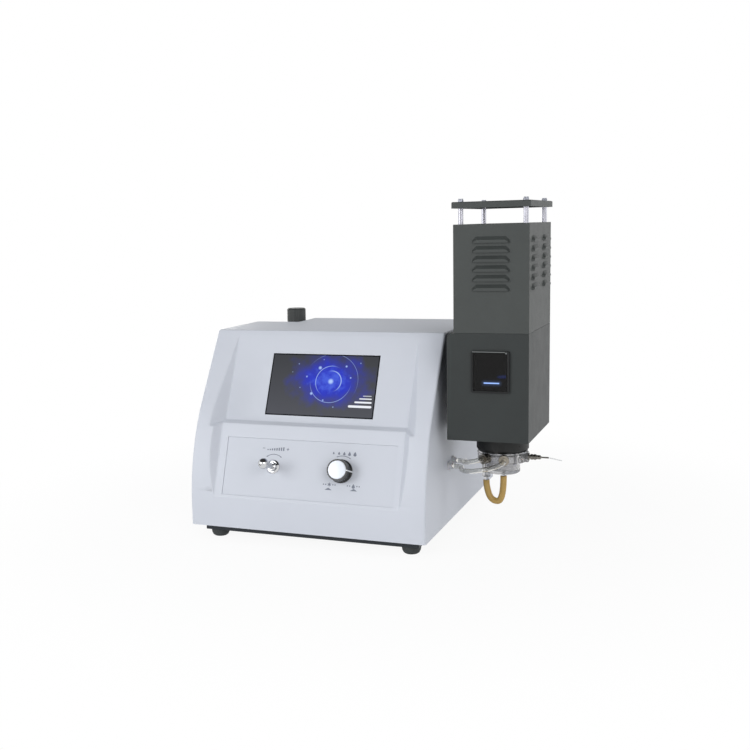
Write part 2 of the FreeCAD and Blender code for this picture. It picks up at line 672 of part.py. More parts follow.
prism(display_board, "Board", "z", "-body_wall - 19.1", "-body_wall - 17.5", [centred("150", "86")])
prism(display_board, "Chips", "z", "-body_wall - 22", "-body_wall - 19.1",
      [centred("24", "24", "-20", "5"), centred("16", "12", "20", "10"),
       centred("16", "12", "20", "-10")])
prism(display_board, "Sockets", "z", "-body_wall - 27", "-body_wall - 19.1",
      [centred("36", "8", "-40", "-34"), centred("24", "8", "20", "-34")])

# ---------------------------------------------------------------- controls

plate = on_floor("control_plate", PANEL, "plate_side")
prism(plate, "Sheet", "z", "-plate_sunk - plate_thick", "-plate_sunk",
      [centred("plate_wide", "plate_tall")],
      circles=[("%s - plate_side" % x, y, "bushing_radius + fit_gap") for x, y in KNOBS])


def valve(label, x, half, depth):
    """Panel valve: body behind the wall, bushing through it, spindle."""
    made = on_floor(label, PANEL, x, "knob_rise")
    back = "-body_wall - %s" % depth
    prism(made, "Block", "z", back, "-body_wall", [centred("2 * %s" % half, "2 * %s" % half)])
    dress(made, "Chamfer", "Corners", "2", lambda m, e: abs(e.Length - number(depth)) < 0.1)
    prism(made, "Bushing", "z", "-body_wall - 1", "2.6", circles=[("0", "0", "bushing_radius")])
    prism(made, "Spindle", "z", "2", "12.5", circles=[("0", "0", "gas_stem")])
    prism(made, "Ports", "y", "-%s - 7" % half, "%s + 7" % half,
          circles=[("0", "-body_wall - %s / 2" % depth, "3.4")])
    return made


valve("fine_valve", "-knob_apart / 2", "10", "24")
valve("gas_valve", "knob_apart / 2", "12", "28")
nut = on_floor("valve_nut", PANEL, "0", "knob_rise", node=False)
turn_up(nut, [("bushing_radius + 0.1", "-plate_sunk"), ("fine_flange", "-plate_sunk"),
              ("fine_flange", "0.4"), ("fine_flange - 2", "2.6"), ("bushing_radius + 0.1", "2.6")])
repeated("valve_nuts", nut,
         [("%d * knob_apart / 2" % side, "panel_y + knob_rise * sin(panel_tilt)",
           "panel_high + knob_rise * cos(panel_tilt)") for side in (-1, 1)],
         X_AXIS, "90 - panel_tilt")

fine = on_floor("fine_knob", PANEL, "-knob_apart / 2", "knob_rise")
prism(fine, "Skirt", "z", "3", "7", circles=[("0", "0", "6.6")])
prism(fine, "Neck", "z", "7", "fine_reach - 13", circles=[("0", "0", "4.4")])
ball = fine.newObject("PartDesign::AdditiveSphere", "Ball")
bind(ball, Radius="fine_ball", Placement__Base__z="fine_reach - plate_sunk - fine_ball")
doc.recompute()
dress(fine, "Fillet", "SkirtRound", "1.6",
      lambda m, e: abs(m.z - 7) < 0.1 and math.hypot(m.x, m.y) > 6)
prism(fine, "Bore", "z", "2", "13", circles=[("0", "0", "fine_stem + turn_gap")], cut=True)

gas = on_floor("gas_knob", PANEL, "knob_apart / 2", "knob_rise")
turn_up(gas, [("gas_stem + turn_gap", "3.2"), ("fine_flange + 0.6", "3.2"),
              ("fine_flange + 0.6", "knob_gap - plate_sunk"),
              ("gas_skirt", "knob_gap - plate_sunk"), ("gas_skirt", "2.4"),
              ("gas_brow", "3.2"), ("gas_brow - 0.4", "gas_reach - plate_sunk"),
              ("gas_cap + seat_gap", "gas_reach - plate_sunk"),
              ("gas_cap + seat_gap", "gas_reach - plate_sunk - 1.4"),
              ("0", "gas_reach - plate_sunk - 1.4"), ("0", "13.2"),
              ("gas_stem + turn_gap", "13.2")])
flute = prism(gas, "Flute", "z", "3.2", "gas_reach",
              circles=[("gas_brow + 0.5", "0", "1.1")], cut=True)
around(gas, [flute], 30, "Flutes")
cap = on_floor("gas_knob_cap", PANEL, "knob_apart / 2", "knob_rise")
prism(cap, "Disc", "z", "gas_reach - plate_sunk - 1.4", "gas_reach - plate_sunk + 0.7",
      circles=[("0", "0", "gas_cap")])
dress(cap, "Fillet", "CapRound", "0.6",
      lambda m, e: m.z > number("gas_reach - plate_sunk"))

# ---------------------------------------------------------------- rear

rear = make_body("rear_panel")
prism(rear, "Sheet", "y", "rear_y - rear_sheet", "rear_y",
      [rect("rear_left", "rear_right", "rear_low", "rear_top")])
prism(rear, "Cutouts", "y", "rear_y - rear_sheet - 1", "rear_y + 1",
      [centred("27.4", "20.4", "inlet_x", "inlet_z"),
       centred("26.4", "18.4", "switch_x", "switch_z")],
      circles=[("supply_x", "supply_z", "5.1")]
      + [(x, z, "small_screw + 0.2") for x, z in REAR_SCREWS], cut=True)
slit = prism(rear, "Slit", "y", "rear_y - rear_sheet - 1", "rear_y + 1",
             [centred("4", "44", "-60", "118")], cut=True)
along(rear, [slit], "X_Axis", "90", 11, "Slits")
rear_screw = screw("rear_screw", "small_screw", "rear_sheet + 2.4", "2.6", "1.8")
repeated("rear_screws", rear_screw, [(x, "rear_y", z) for x, z in REAR_SCREWS], X_AXIS, "-90")

inlet = make_body("mains_inlet", "inlet_x", "rear_y", "inlet_z")
prism(inlet, "Flange", "y", "0", "2.5", [centred("34", "27")])
prism(inlet, "Shell", "y", "-20", "1", [centred("27", "20")])
prism(inlet, "Cavity", "y", "-13", "3.5", [centred("24", "16")], cut=True)
prism(inlet, "Pins", "y", "-14", "-2",
      [centred("2", "4", "-7", "-1"), centred("2", "4", "7", "-1"), centred("2", "4", "0", "3")])
prism(inlet, "Tags", "y", "-28", "-19",
      [centred("0.8", "4.8", "-7", "-1"), centred("0.8", "4.8", "7", "-1"),
       centred("0.8", "4.8", "0", "4")])
bezel = make_body("switch_bezel", "switch_x", "rear_y", "switch_z")
prism(bezel, "Flange", "y", "0", "2", [centred("32", "24")])
prism(bezel, "Case", "y", "-16", "1", [centred("26", "18")])
prism(bezel, "Cavity", "y", "-8", "3", [centred("19.4", "15")], cut=True)
prism(bezel, "Bores", "x", "-11.3", "11.3", circles=[("-1", "0", "1.5 + turn_gap")], cut=True)
rocker = make_body("switch_rocker", "switch_x", "rear_y - 1", "switch_z", X_AXIS, "-8")
prism(rocker, "Key", "x", "-9.5", "9.5",
      [[("-4", "-3"), ("1.5", "-6.4"), ("3.6", "-6.4"), ("2.2", "0"), ("3.6", "6.4"),
        ("1.5", "6.4"), ("-4", "3")]])
prism(rocker, "Pins", "x", "-11.2", "11.2", circles=[("0", "0", "1.5")])
turned("gas_supply_barb", [("0", "-14"), ("5", "-14"), ("5", "-5.5"), ("8", "-5.5"),
                           ("8", "-1.5"), ("5", "-1.5"), ("5", "0"), ("9", "0"), ("9", "4"),
                           ("5", "4"), ("5", "9"), ("3.4", "9"), ("4.2", "13"), ("3.4", "14"),
                           ("4.2", "18"), ("3.4", "19"), ("4.2", "23"), ("2.6", "supply_reach"),
                           ("0", "supply_reach")], "supply_x", "rear_y", "supply_z", X_AXIS, "-90")

# ---------------------------------------------------------------- filter regulator

reg = make_body("regulator_body", "reg_x", "reg_y", "0")
prism(reg, "Block", "z", "reg_low", "reg_high", [centred("2 * reg_half", "2 * reg_half")])
dress(reg, "Chamfer", "Corners", "4",
      lambda m, e: abs(e.Length - number("reg_high - reg_low")) < 0.1)
prism(reg, "Bonnet", "z", "reg_high - 1", "reg_high + 7", circles=[("0", "0", "16")])
prism(reg, "Neck", "z", "reg_high + 6", "dial_low + 11", circles=[("0", "0", "11")])
prism(reg, "SidePorts", "x", "-reg_half - 1", "10 - reg_half",
      circles=[("0", REG_PORT, "5")], cut=True)
prism(reg, "OutPort", "x", "reg_half - 10", "reg_half + 1",
      circles=[("0", REG_PORT, "5")], cut=True)
prism(reg, "GaugePort", "y", "reg_half - 8", "reg_half + 1",
      circles=[("0", REG_PORT, "3.1")], cut=True)
turned("regulator_bowl", [("3.1", "bowl_low"), ("bowl_radius - 5", "bowl_low"),
                          ("bowl_radius", "bowl_low + 7"), ("bowl_radius", "reg_low"),
                          ("bowl_radius - 3", "reg_low"), ("bowl_radius - 3", "bowl_low + 8"),
                          ("bowl_radius - 6.5", "bowl_low + 4"), ("3.1", "bowl_low + 4")],
       "reg_x", "reg_y", "0")
turned("filter_element", [("0", "bowl_low + 24"), ("9", "bowl_low + 24"),
                          ("9", "reg_low - 8"), ("6", "reg_low - 8"), ("6", "reg_low"),
                          ("0", "reg_low")], "reg_x", "reg_y", "0")
turned("regulator_drain", [("0", "bowl_low - 15"), ("2.5", "bowl_low - 15"),
                           ("2.5", "bowl_low - 6"), ("6", "bowl_low - 6"), ("6", "bowl_low"),
                           ("3", "bowl_low"), ("3", "bowl_low + 6"), ("0", "bowl_low + 6")],
       "reg_x", "reg_y", "0")
dial = turned("regulator_knob", [("11 + turn_gap", "dial_low"), ("dial_radius", "dial_low"),
                                 ("dial_radius", "dial_high - 1.5"),
                                 ("dial_radius - 1.5", "dial_high"), ("0", "dial_high"),
                                 ("0", "dial_low + 17"), ("11 + turn_gap", "dial_low + 17")],
              "reg_x", "reg_y", "0")
rib = prism(dial, "Rib", "z", "dial_low + 4", "dial_high - 1.5",
            circles=[("dial_radius + 0.5", "0", "1")], cut=True)
around(dial, [rib], 36, "Ribs")
turned("regulator_gauge", [("0", "-7"), ("3", "-7"), ("3", "0"), ("5", "0"), ("5", "5"),
                           ("20", "5"), ("20", "19"), ("18", "19"), ("18", "15"),
                           ("0.8", "15"), ("0.8", "17.2"), ("0", "17.2")],
       "reg_x", "reg_y + reg_half", REG_PORT, X_AXIS, "-90")
needle = make_body("gauge_needle", "reg_x", "reg_y + reg_half", REG_PORT, X_AXIS, "-90")
prism(needle, "Hub", "z", "15.3", "17", circles=[("0", "0", "2.2")])
prism(needle, "Blade", "z", "15.9", "16.5", [[("-0.4", "-14"), ("0.4", "-14"), ("1", "5"),
                                             ("-1", "5")]])
prism(needle, "Bore", "z", "15", "18", circles=[("0", "0", "0.8 + turn_gap")], cut=True)
turned("gauge_glass", [("0", "17.6"), ("18", "17.6"), ("18", "19"), ("0", "19")],
       "reg_x", "reg_y + reg_half", REG_PORT, X_AXIS, "-90")
turned("air_inlet_fitting", [("0", "-9"), ("4.9", "-9"), ("4.9", "0"), ("8", "0"), ("8", "13"),
                             ("3.05", "13"), ("3.05", "3"), ("0", "3")],
       "reg_x - reg_half", "reg_y", REG_PORT, Y_AXIS, "-90")
turned("regulator_outlet", [("0", "-9"), ("4.9", "-9"), ("4.9", "11.5"), ("8", "11.5"),
                            ("8", "15.5"), ("4", "15.5"), ("4", "26"), ("0", "26")],
       "reg_x + reg_half", "reg_y", REG_PORT, Y_AXIS, "90")
bracket = make_body("regulator_bracket", "reg_x + reg_half", "reg_y", "0")
prism(bracket, "Block", "x", "0", "bay_x - reg_x - reg_half",
      [rect("-16", "16", "reg_high - 38", "reg_high - 8")])
prism(bracket, "Bore", "x", "-1", "20", circles=[("0", REG_PORT, "5.1")], cut=True)

# ---------------------------------------------------------------- optics

turned("optics_tube", [("beam_radius - 2", "-44"), ("beam_radius", "-44"), ("beam_radius", "-7"),
                       ("26", "-4"), ("26", "0"), ("beam_radius", "0"),
                       ("beam_radius", "housing_left - inside"),
                       ("beam_radius - 2", "housing_left - inside")],
       "inside", "burner_y", "beam_high", Y_AXIS, "90")
holder = make_body("filter_holder", "inside - 44", "burner_y", "beam_high")
prism(holder, "Block", "x", "-10", "0", [centred("42", "42")])
prism(holder, "Light", "x", "-11", "1", circles=[("0", "0", "8")], cut=True)
prism(holder, "Slot", "z", "-12", "22", [centred("4", "22", "-5", "0")], cut=True)
colour = make_body("optical_filter", "inside - 44", "burner_y", "beam_high")
prism(colour, "Glass", "z", "-12", "20", [centred("3.6", "21.4", "-5", "0")])
sensor = make_body("detector", "inside - 54", "burner_y", "beam_high")
prism(sensor, "Can", "x", "-26", "0", [centred("34", "34")])
prism(sensor, "Socket", "x", "-32", "-26", [centred("20", "12")])

# ---------------------------------------------------------------- column

mount = make_body("column_bracket", "half_wide", "0", "0")
DEEP = "housing_left - half_wide"
prism(mount, "Block", "x", "0", DEEP, [rect("-88.5", "-20", "200", "276")])
prism(mount, "Bore", "x", "-1", DEEP + " + 1",
      circles=[("burner_y", "beam_high", "beam_radius + fit_gap")], cut=True)
prism(mount, "BoltHoles", "x", "-1", "13",
      circles=[(y, z, "bolt_radius + fit_gap") for y, z in BOLTS], cut=True)
prism(mount, "Window", "x", "-1", DEEP + " + 1", [rect("-54", "-34", "214", "262")], cut=True)
bolt = screw("bolt", "bolt_radius", "body_wall + 12", "3.6", "2.6")
repeated("bracket_bolts", bolt, [("inside", y, z) for y, z in BOLTS], Y_AXIS, "-90")

IN_X, IN_Y = "burner_x - column_x", "burner_y - column_y"
housing = make_body("burner_housing", "column_x", "column_y", "0")
LEFT = "-column_wide / 2 - shoulder"
prism(housing, "Box", "z", "column_low", "column_split",
      [rect(LEFT, "column_wide / 2", "-column_deep / 2", "column_deep / 2")])
dress(housing, "Fillet", "Shoulder", "shoulder_round",
      lambda m, e: m.x < number(LEFT + " + 0.1") and m.z > number("column_split - 0.1"))
prism(housing, "Room", "y", "-column_deep / 2 + column_wall", "column_deep / 2 - column_wall", [[
    (LEFT + " + column_wall", "column_low + column_wall"),
    ("column_wide / 2 - column_wall", "column_low + column_wall"),
    ("column_wide / 2 - column_wall", "column_split - column_wall"),
    (LEFT + " + column_wall + shoulder_round - 3", "column_split - column_wall"),
    (LEFT + " + column_wall", "column_split - column_wall - shoulder_round + 3")]], cut=True)
LIP_X, LIP_Y = ["%s - 2 * (chimney_wall + fit_gap)" % size for size in ("column_wide", "column_deep")]
prism(housing, "Lip", "z", "column_split - 1", "column_split + lip_high", [centred(LIP_X, LIP_Y)])
prism(housing, "Throat", "z", "column_split - column_wall - 8", "column_split + lip_high + 1",
      [centred(LIP_X + " - 4", LIP_Y + " - 4")], cut=True)
prism(housing, "WindowOpening", "y", "-column_deep / 2 - 1", "-column_deep / 2 + column_wall + 1",
      [centred("window_wide - 2 * window_rim - 4", "window_tall - 2 * window_rim - 4",
               IN_X, "window_high")], cut=True)
prism(housing, "BeamHole", "x", LEFT + " - 1", LEFT + " + column_wall + 1",
      circles=[(IN_Y, "beam_high", "beam_radius - 2")], cut=True)
prism(housing, "StemHole", "z", "column_low - 1", "column_low + column_wall + 1",
      circles=[(IN_X, IN_Y, "stem_radius + 0.4")], cut=True)
prism(housing, "IgniterHole", "y", "column_deep / 2 - column_wall - 1", "column_deep / 2 + 1",
      circles=[(IN_X, "226", "3.1")], cut=True)
intake = prism(housing, "Intake", "z", "column_low - 1", "column_low + column_wall + 1",
               [centred("60", "5", "0", "46")], cut=True)
along(housing, [intake], "Y_Axis", "20", 3, "Intakes")

chimney = make_body("chimney", "column_x", "column_y", "chimney_low")
TALL = "column_high - chimney_low"
prism(chimney, "Tube", "z", "0", TALL, [centred("column_wide", "column_deep")])
prism(chimney, "Inside", "z", "-1", TALL + " - chimney_wall",
      [centred("column_wide - 2 * chimney_wall", "column_deep - 2 * chimney_wall")], cut=True)
prism(chimney, "Vent", "z", "0", TALL + " + 1",
      [centred("column_wide - 2 * top_flange", "column_deep - 2 * top_flange")], cut=True)
STUDS = [("%d * stud_x" % sx, "%d * stud_y" % sy) for sx, sy in BOSSES]
prism(chimney, "StudHoles", "z", "0", TALL + " + 1",
      circles=[(x, y, "screw_radius + fit_gap") for x, y in STUDS], cut=True)
LOUVRE = "louvre_low - chimney_low"


def hood_outline(middle, inset, low, high, corner):
    """Outline of a louvre: flat below, cut across at its two upper corners."""
    left = "%s - louvre_wide / 2 + %s" % (middle, inset)
    right = "%s + louvre_wide / 2 - %s" % (middle, inset)
    shoulder, across = corner
    return [(left, LOUVRE + " + " + low), (right, LOUVRE + " + " + low),
            (right, LOUVRE + " + " + shoulder), ("%s - %s" % (right, across), LOUVRE + " + " + high),
            ("%s + %s" % (left, across), LOUVRE + " + " + high), (left, LOUVRE + " + " + shoulder)]


def louvres(name, axis, face, middle, mirrors):
    """Pressed louvres, open below: a hood and its hollow, repeated up the sheet."""
    side = "-(%s / 2) - (%s)" if axis == "y" else "%s / 2 + (%s)"
    hood = blended(chimney, name + "Hood", axis,
                   (side % (face, "-0.5"), hood_outline(middle, "0", "0", "louvre_tall", ("3", "5"))),
                   (side % (face, "louvre_out"),
                    hood_outline(middle, "2.2", "0", "0.42 * louvre_tall", ("1.6", "4"))))
    hollow = blended(chimney, name + "Hollow", axis,
                     (side % (face, "-chimney_wall - 0.1"),
                      hood_outline(middle, "1.2", "-0.1", "louvre_tall - 0.6", ("2.6", "4.4"))),
                     (side % (face, "louvre_out - 1"),
                      hood_outline(middle, "2.8", "-0.1", "0.46 * louvre_tall", ("1.4", "3.6"))),
                     cut=True)
    rows = chimney.newObject("PartDesign::MultiTransform", name + "Louvres")
    rows.Originals = [hood, hollow]
    up = chimney.newObject("PartDesign::LinearPattern", name + "Up")
    up.Direction = (origin_part(chimney, "Z_Axis"), [""])
    bind(up, Length="5 * louvre_pitch")
    up.Occurrences = 6
    steps = [up]
    for plane in mirrors:
        mirror = chimney.newObject("PartDesign::Mirrored", name + plane)
        mirror.MirrorPlane = (origin_part(chimney, plane), [""])
        steps.append(mirror)
    rows.Transformations = steps
    chimney.Tip = rows
    doc.recompute()


louvres("Front", "y", "column_deep", "0", ["XZ_Plane"])
louvres("Side", "x", "column_wide", "louvre_side", ["YZ_Plane", "XZ_Plane"])

post = turned("post", [("0", "-4"), ("screw_radius", "-4"), ("screw_radius", "0"),
                       ("post_radius", "0"), ("post_radius", "lid_high - chimney_wall - column_high"),
                       ("screw_radius + fit_gap", "lid_high - chimney_wall - column_high"),
                       ("screw_radius + fit_gap", "lid_low - column_high - 6"),
                       ("0", "lid_low - column_high - 6")], "0", "0", "0", node=False)
repeated("lid_posts", post, [("column_x + " + x, "column_y + " + y, "column_high")
                             for x, y in STUDS])
lid = make_body("lid", "column_x", "column_y", "0")
prism(lid, "Cap", "z", "lid_low", "lid_high",
      [centred("column_wide + 2 * lid_over", "column_deep + 2 * lid_over")])
dress(lid, "Fillet", "TopEdges", "1.5", lambda m, e: m.z > number("lid_high - 0.1"))
prism(lid, "Fold", "z", "lid_low - 1", "lid_high - chimney_wall",
      [centred("column_wide + 2 * (lid_over - chimney_wall)",
               "column_deep + 2 * (lid_over - chimney_wall)")], cut=True)
prism(lid, "StudHoles", "z", "lid_low", "lid_high + 1",
      circles=[(x, y, "screw_radius + fit_gap") for x, y in STUDS], cut=True)
lid_screw = screw("lid_screw", "screw_radius", "screw_reach", "screw_head", "4")
repeated("lid_screws", lid_screw, [("column_x + " + x, "column_y + " + y, "lid_high")
                                   for x, y in STUDS])

frame = make_body("window_frame", "burner_x", "column_front", "window_high")
prism(frame, "Frame", "y", "-window_out", "0", [centred("window_wide", "window_tall")])
dress(frame, "Fillet", "Corners", "window_round",
      lambda m, e: abs(e.Length - number("window_out")) < 0.01)
prism(frame, "Opening", "y", "-window_out - 1", "1",
      [centred("window_wide - 2 * window_rim", "window_tall - 2 * window_rim")], cut=True)
pane = make_body("window_pane", "burner_x", "column_front", "window_high")
prism(pane, "Pane", "y", "-2.2", "0", [centred("window_wide - 2 * (window_rim + seat_gap)",
                                              "window_tall - 2 * (window_rim + seat_gap)")])

# ---------------------------------------------------------------- burner

head = turned("burner_head", [("8", "collar_low"), ("stem_radius", "collar_low"),
                              ("stem_radius", "burner_top - 16"),
                              ("burner_radius", "burner_top - 13"),
                              ("burner_radius", "burner_top - 1"),
                              ("burner_radius - 1", "burner_top"), ("0", "burner_top"),
                              ("0", "burner_top - 4"), ("8", "burner_top - 4")],
              "burner_x", "burner_y", "0")
flame_hole = prism(head, "FlameHole", "z", "burner_top - 5", "burner_top + 1",
                   circles=[("6", "0", "1.1")], cut=True)
around(head, [flame_hole], 10, "FlameHoles")
prism(head, "MiddleHoles", "z", "burner_top - 5", "burner_top + 1",
      circles=[("0", "0", "1.1"), ("3", "0", "0.8"), ("-3", "0", "0.8"), ("0", "3", "0.8"),
               ("0", "-3", "0.8")], cut=True)
turned("igniter", [("0", "0"), ("3", "0"), ("3", "8"), ("6", "8"), ("6", "10"), ("3", "10"),
                   ("3", "58"), ("0.9", "60"), ("0.9", "72"), ("0", "72")],
       "burner_x", "column_back + 10", "226", X_AXIS, "90")
collar = turned("burner_collar", [("stem_radius + 0.3", "collar_low"),
                                  ("collar_radius - 3", "collar_low"),
                                  ("collar_radius", "collar_low + 3.5"),
                                  ("collar_radius", "column_low"),
                                  ("stem_radius + 0.3", "column_low")],
                "burner_x", "burner_y", "0")
SCREWS = [("%d * 19.8" % sx, "%d * 19.8" % sy) for sx, sy in BOSSES]
prism(collar, "ScrewHoles", "z", "collar_low - 1", "collar_low + 9",
      circles=[(x, y, "mid_screw + fit_gap") for x, y in SCREWS], cut=True)

chamber = turned("mixing_chamber", [("0", "cup_low"), ("cup_radius - 1.5", "cup_low"),
                                    ("cup_radius", "cup_low + 1.5"), ("cup_radius", "disc_low"),
                                    ("disc_radius - 1", "disc_low"),
                                    ("disc_radius", "disc_low + 1"),
                                    ("disc_radius", "collar_low"),
                                    ("cup_radius - cup_wall", "collar_low"),
                                    ("cup_radius - cup_wall", "cup_low + cup_wall"),
                                    ("0", "cup_low + cup_wall")], "burner_x", "burner_y", "0")
prism(chamber, "SprayBoss", "x", "cup_radius", "disc_radius + 1.3",
      circles=[("0", "spray_high", "7.5")])
prism(chamber, "LoopBoss", "z", "cup_low - 7", "disc_low + 1", circles=[("-21", "-5", "5.5")])
prism(chamber, "SprayPort", "x", "cup_radius - cup_wall - 2", "disc_radius + 3",
      circles=[("0", "spray_high", "4.05")], cut=True)
for name, turn in (("Gas", "gas_turn"), ("Air", "air_turn")):
    prism(chamber, name + "Port", "x", "cup_radius - cup_wall - 1.5", "disc_radius",
          circles=[("0", "port_high", "3")], cut=True, turn=turn)
    prism(chamber, name + "Seat", "x", "31", "disc_radius + 2",
          circles=[("0", "port_high", "port_radius + fit_gap")], cut=True, turn=turn)
prism(chamber, "DrainHoles", "z", "cup_low - 8", "cup_low + cup_wall + 1",
      circles=[("2.3", "-5", "1.5"), ("-21", "-5", "1.5")], cut=True)
prism(chamber, "ScrewHoles", "z", "disc_low - 1", "collar_low + 1",
      circles=[(x, y, "mid_screw + fit_gap") for x, y in SCREWS], cut=True)
chamber_screw = screw("chamber_screw", "mid_screw", "collar_low - disc_low + 8", "3", "2")
repeated("chamber_screws", chamber_screw,
         [("burner_x + " + x, "burner_y + " + y, "disc_low") for x, y in SCREWS], X_AXIS, "180")
nipple = turned("nipple", [("0", "0"), ("2.6", "0"), ("3.2", "3"), ("3.2", "5"), ("1.5", "5"),
                           ("1.5", "7"), ("0", "7")], "0", "0", "0", node=False)
repeated("drain_nipples", nipple,
         [("burner_x + 2.3", "burner_y - 5", "cup_low - 5"),
          ("burner_x - 21", "burner_y - 5", "cup_low - 12")])
fitting = make_body("port_fitting", node=False)
prism(fitting, "Root", "x", "20", "32", circles=[("0", "0", "2.9")])
prism(fitting, "Barrel", "x", "31", "port_reach", circles=[("0", "0", "port_radius")])
prism(fitting, "Collet", "x", "port_reach - 1", "port_reach + 1.5", circles=[("0", "0", "4.4")])
repeated("port_fittings", fitting, [("burner_x", "burner_y", "port_high")] * 2,
         Z_AXIS, turns=["gas_turn", "air_turn"])
turned("nebuliser", [("0", "8"), ("1", "8"), ("1.5", "17"), ("3.95", "17"),
                     ("3.95", "disc_radius + 1.3"), ("6.8", "disc_radius + 1.3"),
                     ("6.8", "disc_radius + 4.3"), ("4.2", "disc_radius + 4.3"),
                     ("4.2", "39.5"), ("1.6", "39.5"), ("1.6", "41"), ("2.6", "41"),
                     ("2.6", "49.5"), ("1", "49.5"), ("1", "spray_reach"), ("0", "spray_reach")],
       "burner_x", "burner_y", "spray_high", Y_AXIS, "90")
turned("capillary", [("0", "0.1"), ("capillary_radius", "0.1"),
                     ("capillary_radius", "capillary_long"), ("0", "capillary_long")],
       "burner_x + spray_reach", "burner_y", "spray_high", Y_AXIS, "90 + capillary_drop")
bulkhead = turned("bulkhead", [("0", "-9"), ("2.6", "-9"), ("2.6", "-3.5"), ("7", "-3.5"),
                               ("7", "0"), ("port_thread", "0"), ("port_thread", "body_wall"),
                               ("6.5", "body_wall"), ("6.5", "body_wall + 3"),
                               ("4.4", "body_wall + 3"), ("4.4", "body_wall + 6"),
                               ("0", "body_wall + 6")], "0", "0", "0", node=False)
repeated("hose_bulkheads", bulkhead, [("inside", y, z) for y, z in PORTS], Y_AXIS, "90")


def off_port(turn, reach):
    return ("burner_x + (%s) * cos(%s)" % (reach, turn), "burner_y + (%s) * sin(%s)" % (reach, turn),
            "port_high")


HOSE_START = "half_wide + 6"
tube_along("gas_hose", [
    off_port("gas_turn", "port_reach + 1.5"), off_port("gas_turn", "port_reach + 12"),
    ("204", "-122", "113"), ("194", "-108", "110.5"), ("190", "-88", "108"),
    ("188.5",) + PORTS[0], (HOSE_START,) + PORTS[0]], "hose_radius")
tube_along("air_hose", [
    off_port("air_turn", "port_reach + 1.5"), off_port("air_turn", "port_reach + 13.5"),
    ("238", "-134", "109"), ("220", "-133", "105"), ("203", "-124", "101"),
    ("191", "-106", "98.5"), ("188",) + PORTS[1], (HOSE_START,) + PORTS[1]], "hose_radius")
tube_along("drain_tube", [
    ("burner_x + 2.3", "burner_y - 5", "cup_low - 5"), ("burner_x + 2.3", "burner_y - 5", "52.6"),
    ("burner_x - 14.5", "burner_y - 5", "52.6"), ("burner_x - 21", "burner_y - 5", "72"),
    ("burner_x - 21", "burner_y - 5", "cup_low - 12")], "drain_radius")

# ---------------------------------------------------------------- check and write

for thing in doc.Objects:
    if "Invalid" in thing.State or "Error" in thing.State:
        raise RuntimeError("%s: %s" % (thing.Label, thing.State))
for node in NODES:
    shape = node.Shape
    if shape.isNull() or not shape.isValid() or not shape.Solids:
        raise RuntimeError("%s has no sound solid" % node.Label)

os.makedirs("parts", exist_ok=True)
for node in NODES:
    node.Shape.exportStep("parts/%s.step" % node.Label)
print("%d pieces" % len(NODES))
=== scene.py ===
import bpy
import bmesh
import math
from mathutils import Matrix, Vector


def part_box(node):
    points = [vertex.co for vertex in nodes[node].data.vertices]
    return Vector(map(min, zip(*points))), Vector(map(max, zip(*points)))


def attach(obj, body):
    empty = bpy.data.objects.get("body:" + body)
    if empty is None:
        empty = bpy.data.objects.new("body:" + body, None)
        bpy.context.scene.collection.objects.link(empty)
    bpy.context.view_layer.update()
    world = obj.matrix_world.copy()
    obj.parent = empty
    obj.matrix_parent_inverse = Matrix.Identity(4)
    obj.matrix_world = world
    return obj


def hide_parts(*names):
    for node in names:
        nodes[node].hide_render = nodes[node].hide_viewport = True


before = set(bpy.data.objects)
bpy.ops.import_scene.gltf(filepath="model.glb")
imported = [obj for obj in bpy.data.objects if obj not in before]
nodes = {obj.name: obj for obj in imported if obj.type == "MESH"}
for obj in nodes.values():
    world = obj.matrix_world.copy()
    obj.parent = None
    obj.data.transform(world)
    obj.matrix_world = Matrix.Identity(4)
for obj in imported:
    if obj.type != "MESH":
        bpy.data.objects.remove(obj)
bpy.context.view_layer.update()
scene = bpy.context.scene
quarter = math.pi / 2
toMetres = Matrix.Scale(0.001, 4)

# Places are in millimetres from the middle of the cabinet, with the bench at zero.
cabinetSize = dict(halfWide=168, rearY=200)
cabinetLow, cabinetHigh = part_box("cabinet")
middle = Vector((cabinetLow[0] + cabinetSize["halfWide"] / 1000,
                 cabinetHigh[1] - cabinetSize["rearY"] / 1000, 0))


def at(x, y, z):
    return middle + Vector((x, y, z)) / 1000


def drawnAt(x, y, z):
    # Takes a shape drawn in millimetres to this place.
    return Matrix.Translation(at(x, y, z)) @ toMetres


def around(x, y, reach, turn):
    # The spot at this reach from a middle, with the turn in radians.
    return (x + reach * math.cos(turn), y + reach * math.sin(turn))


def turnTo(across, up, out):
    # Turns a shape so that its own X, Y and Z lie along these.
    return Matrix((across, up, out)).transposed().to_4x4()


def leaning(x, y, z, tilt):
    # Takes millimetres across, up and out of a face that leans back by tilt to this place.
    return drawnAt(x, y, z) @ Matrix.Rotation(math.radians(90 - tilt), 4, "X")


panelFloor = dict(x=0, y=-184.5, z=102.4, tilt=20)
screenFloor = dict(x=4, y=-130.5, z=210, tilt=25)
knobSide, knobRise, plateSunk = 49.4, 2.2, 0.8


def linear(value):
    return value / 12.92 if value <= 0.04045 else ((value + 0.055) / 1.055) ** 2.4


def tint(red, green, blue):
    # A colour picked on a 0-255 scale.
    return (linear(red / 255), linear(green / 255), linear(blue / 255), 1.0)


def putIn(name, data):
    obj = bpy.data.objects.new(name, data)
    scene.collection.objects.link(obj)
    return obj


def setInputs(node, values):
    for key, value in values.items():
        node.inputs[key].default_value = value


def addNode(tree, kind, links=(), **settings):
    # A short kind takes its family from the tree: "TexNoise" in a material is ShaderNodeTexNoise.
    node = tree.nodes.new(kind if "Node" in kind else tree.bl_idname[:-4] + kind)
    for key, value in settings.items():
        setattr(node, key, value)
    for socket, source in dict(links).items():
        if isinstance(source, bpy.types.NodeSocket):
            tree.links.new(source, node.inputs[socket])
        else:
            node.inputs[socket].default_value = source
    return node


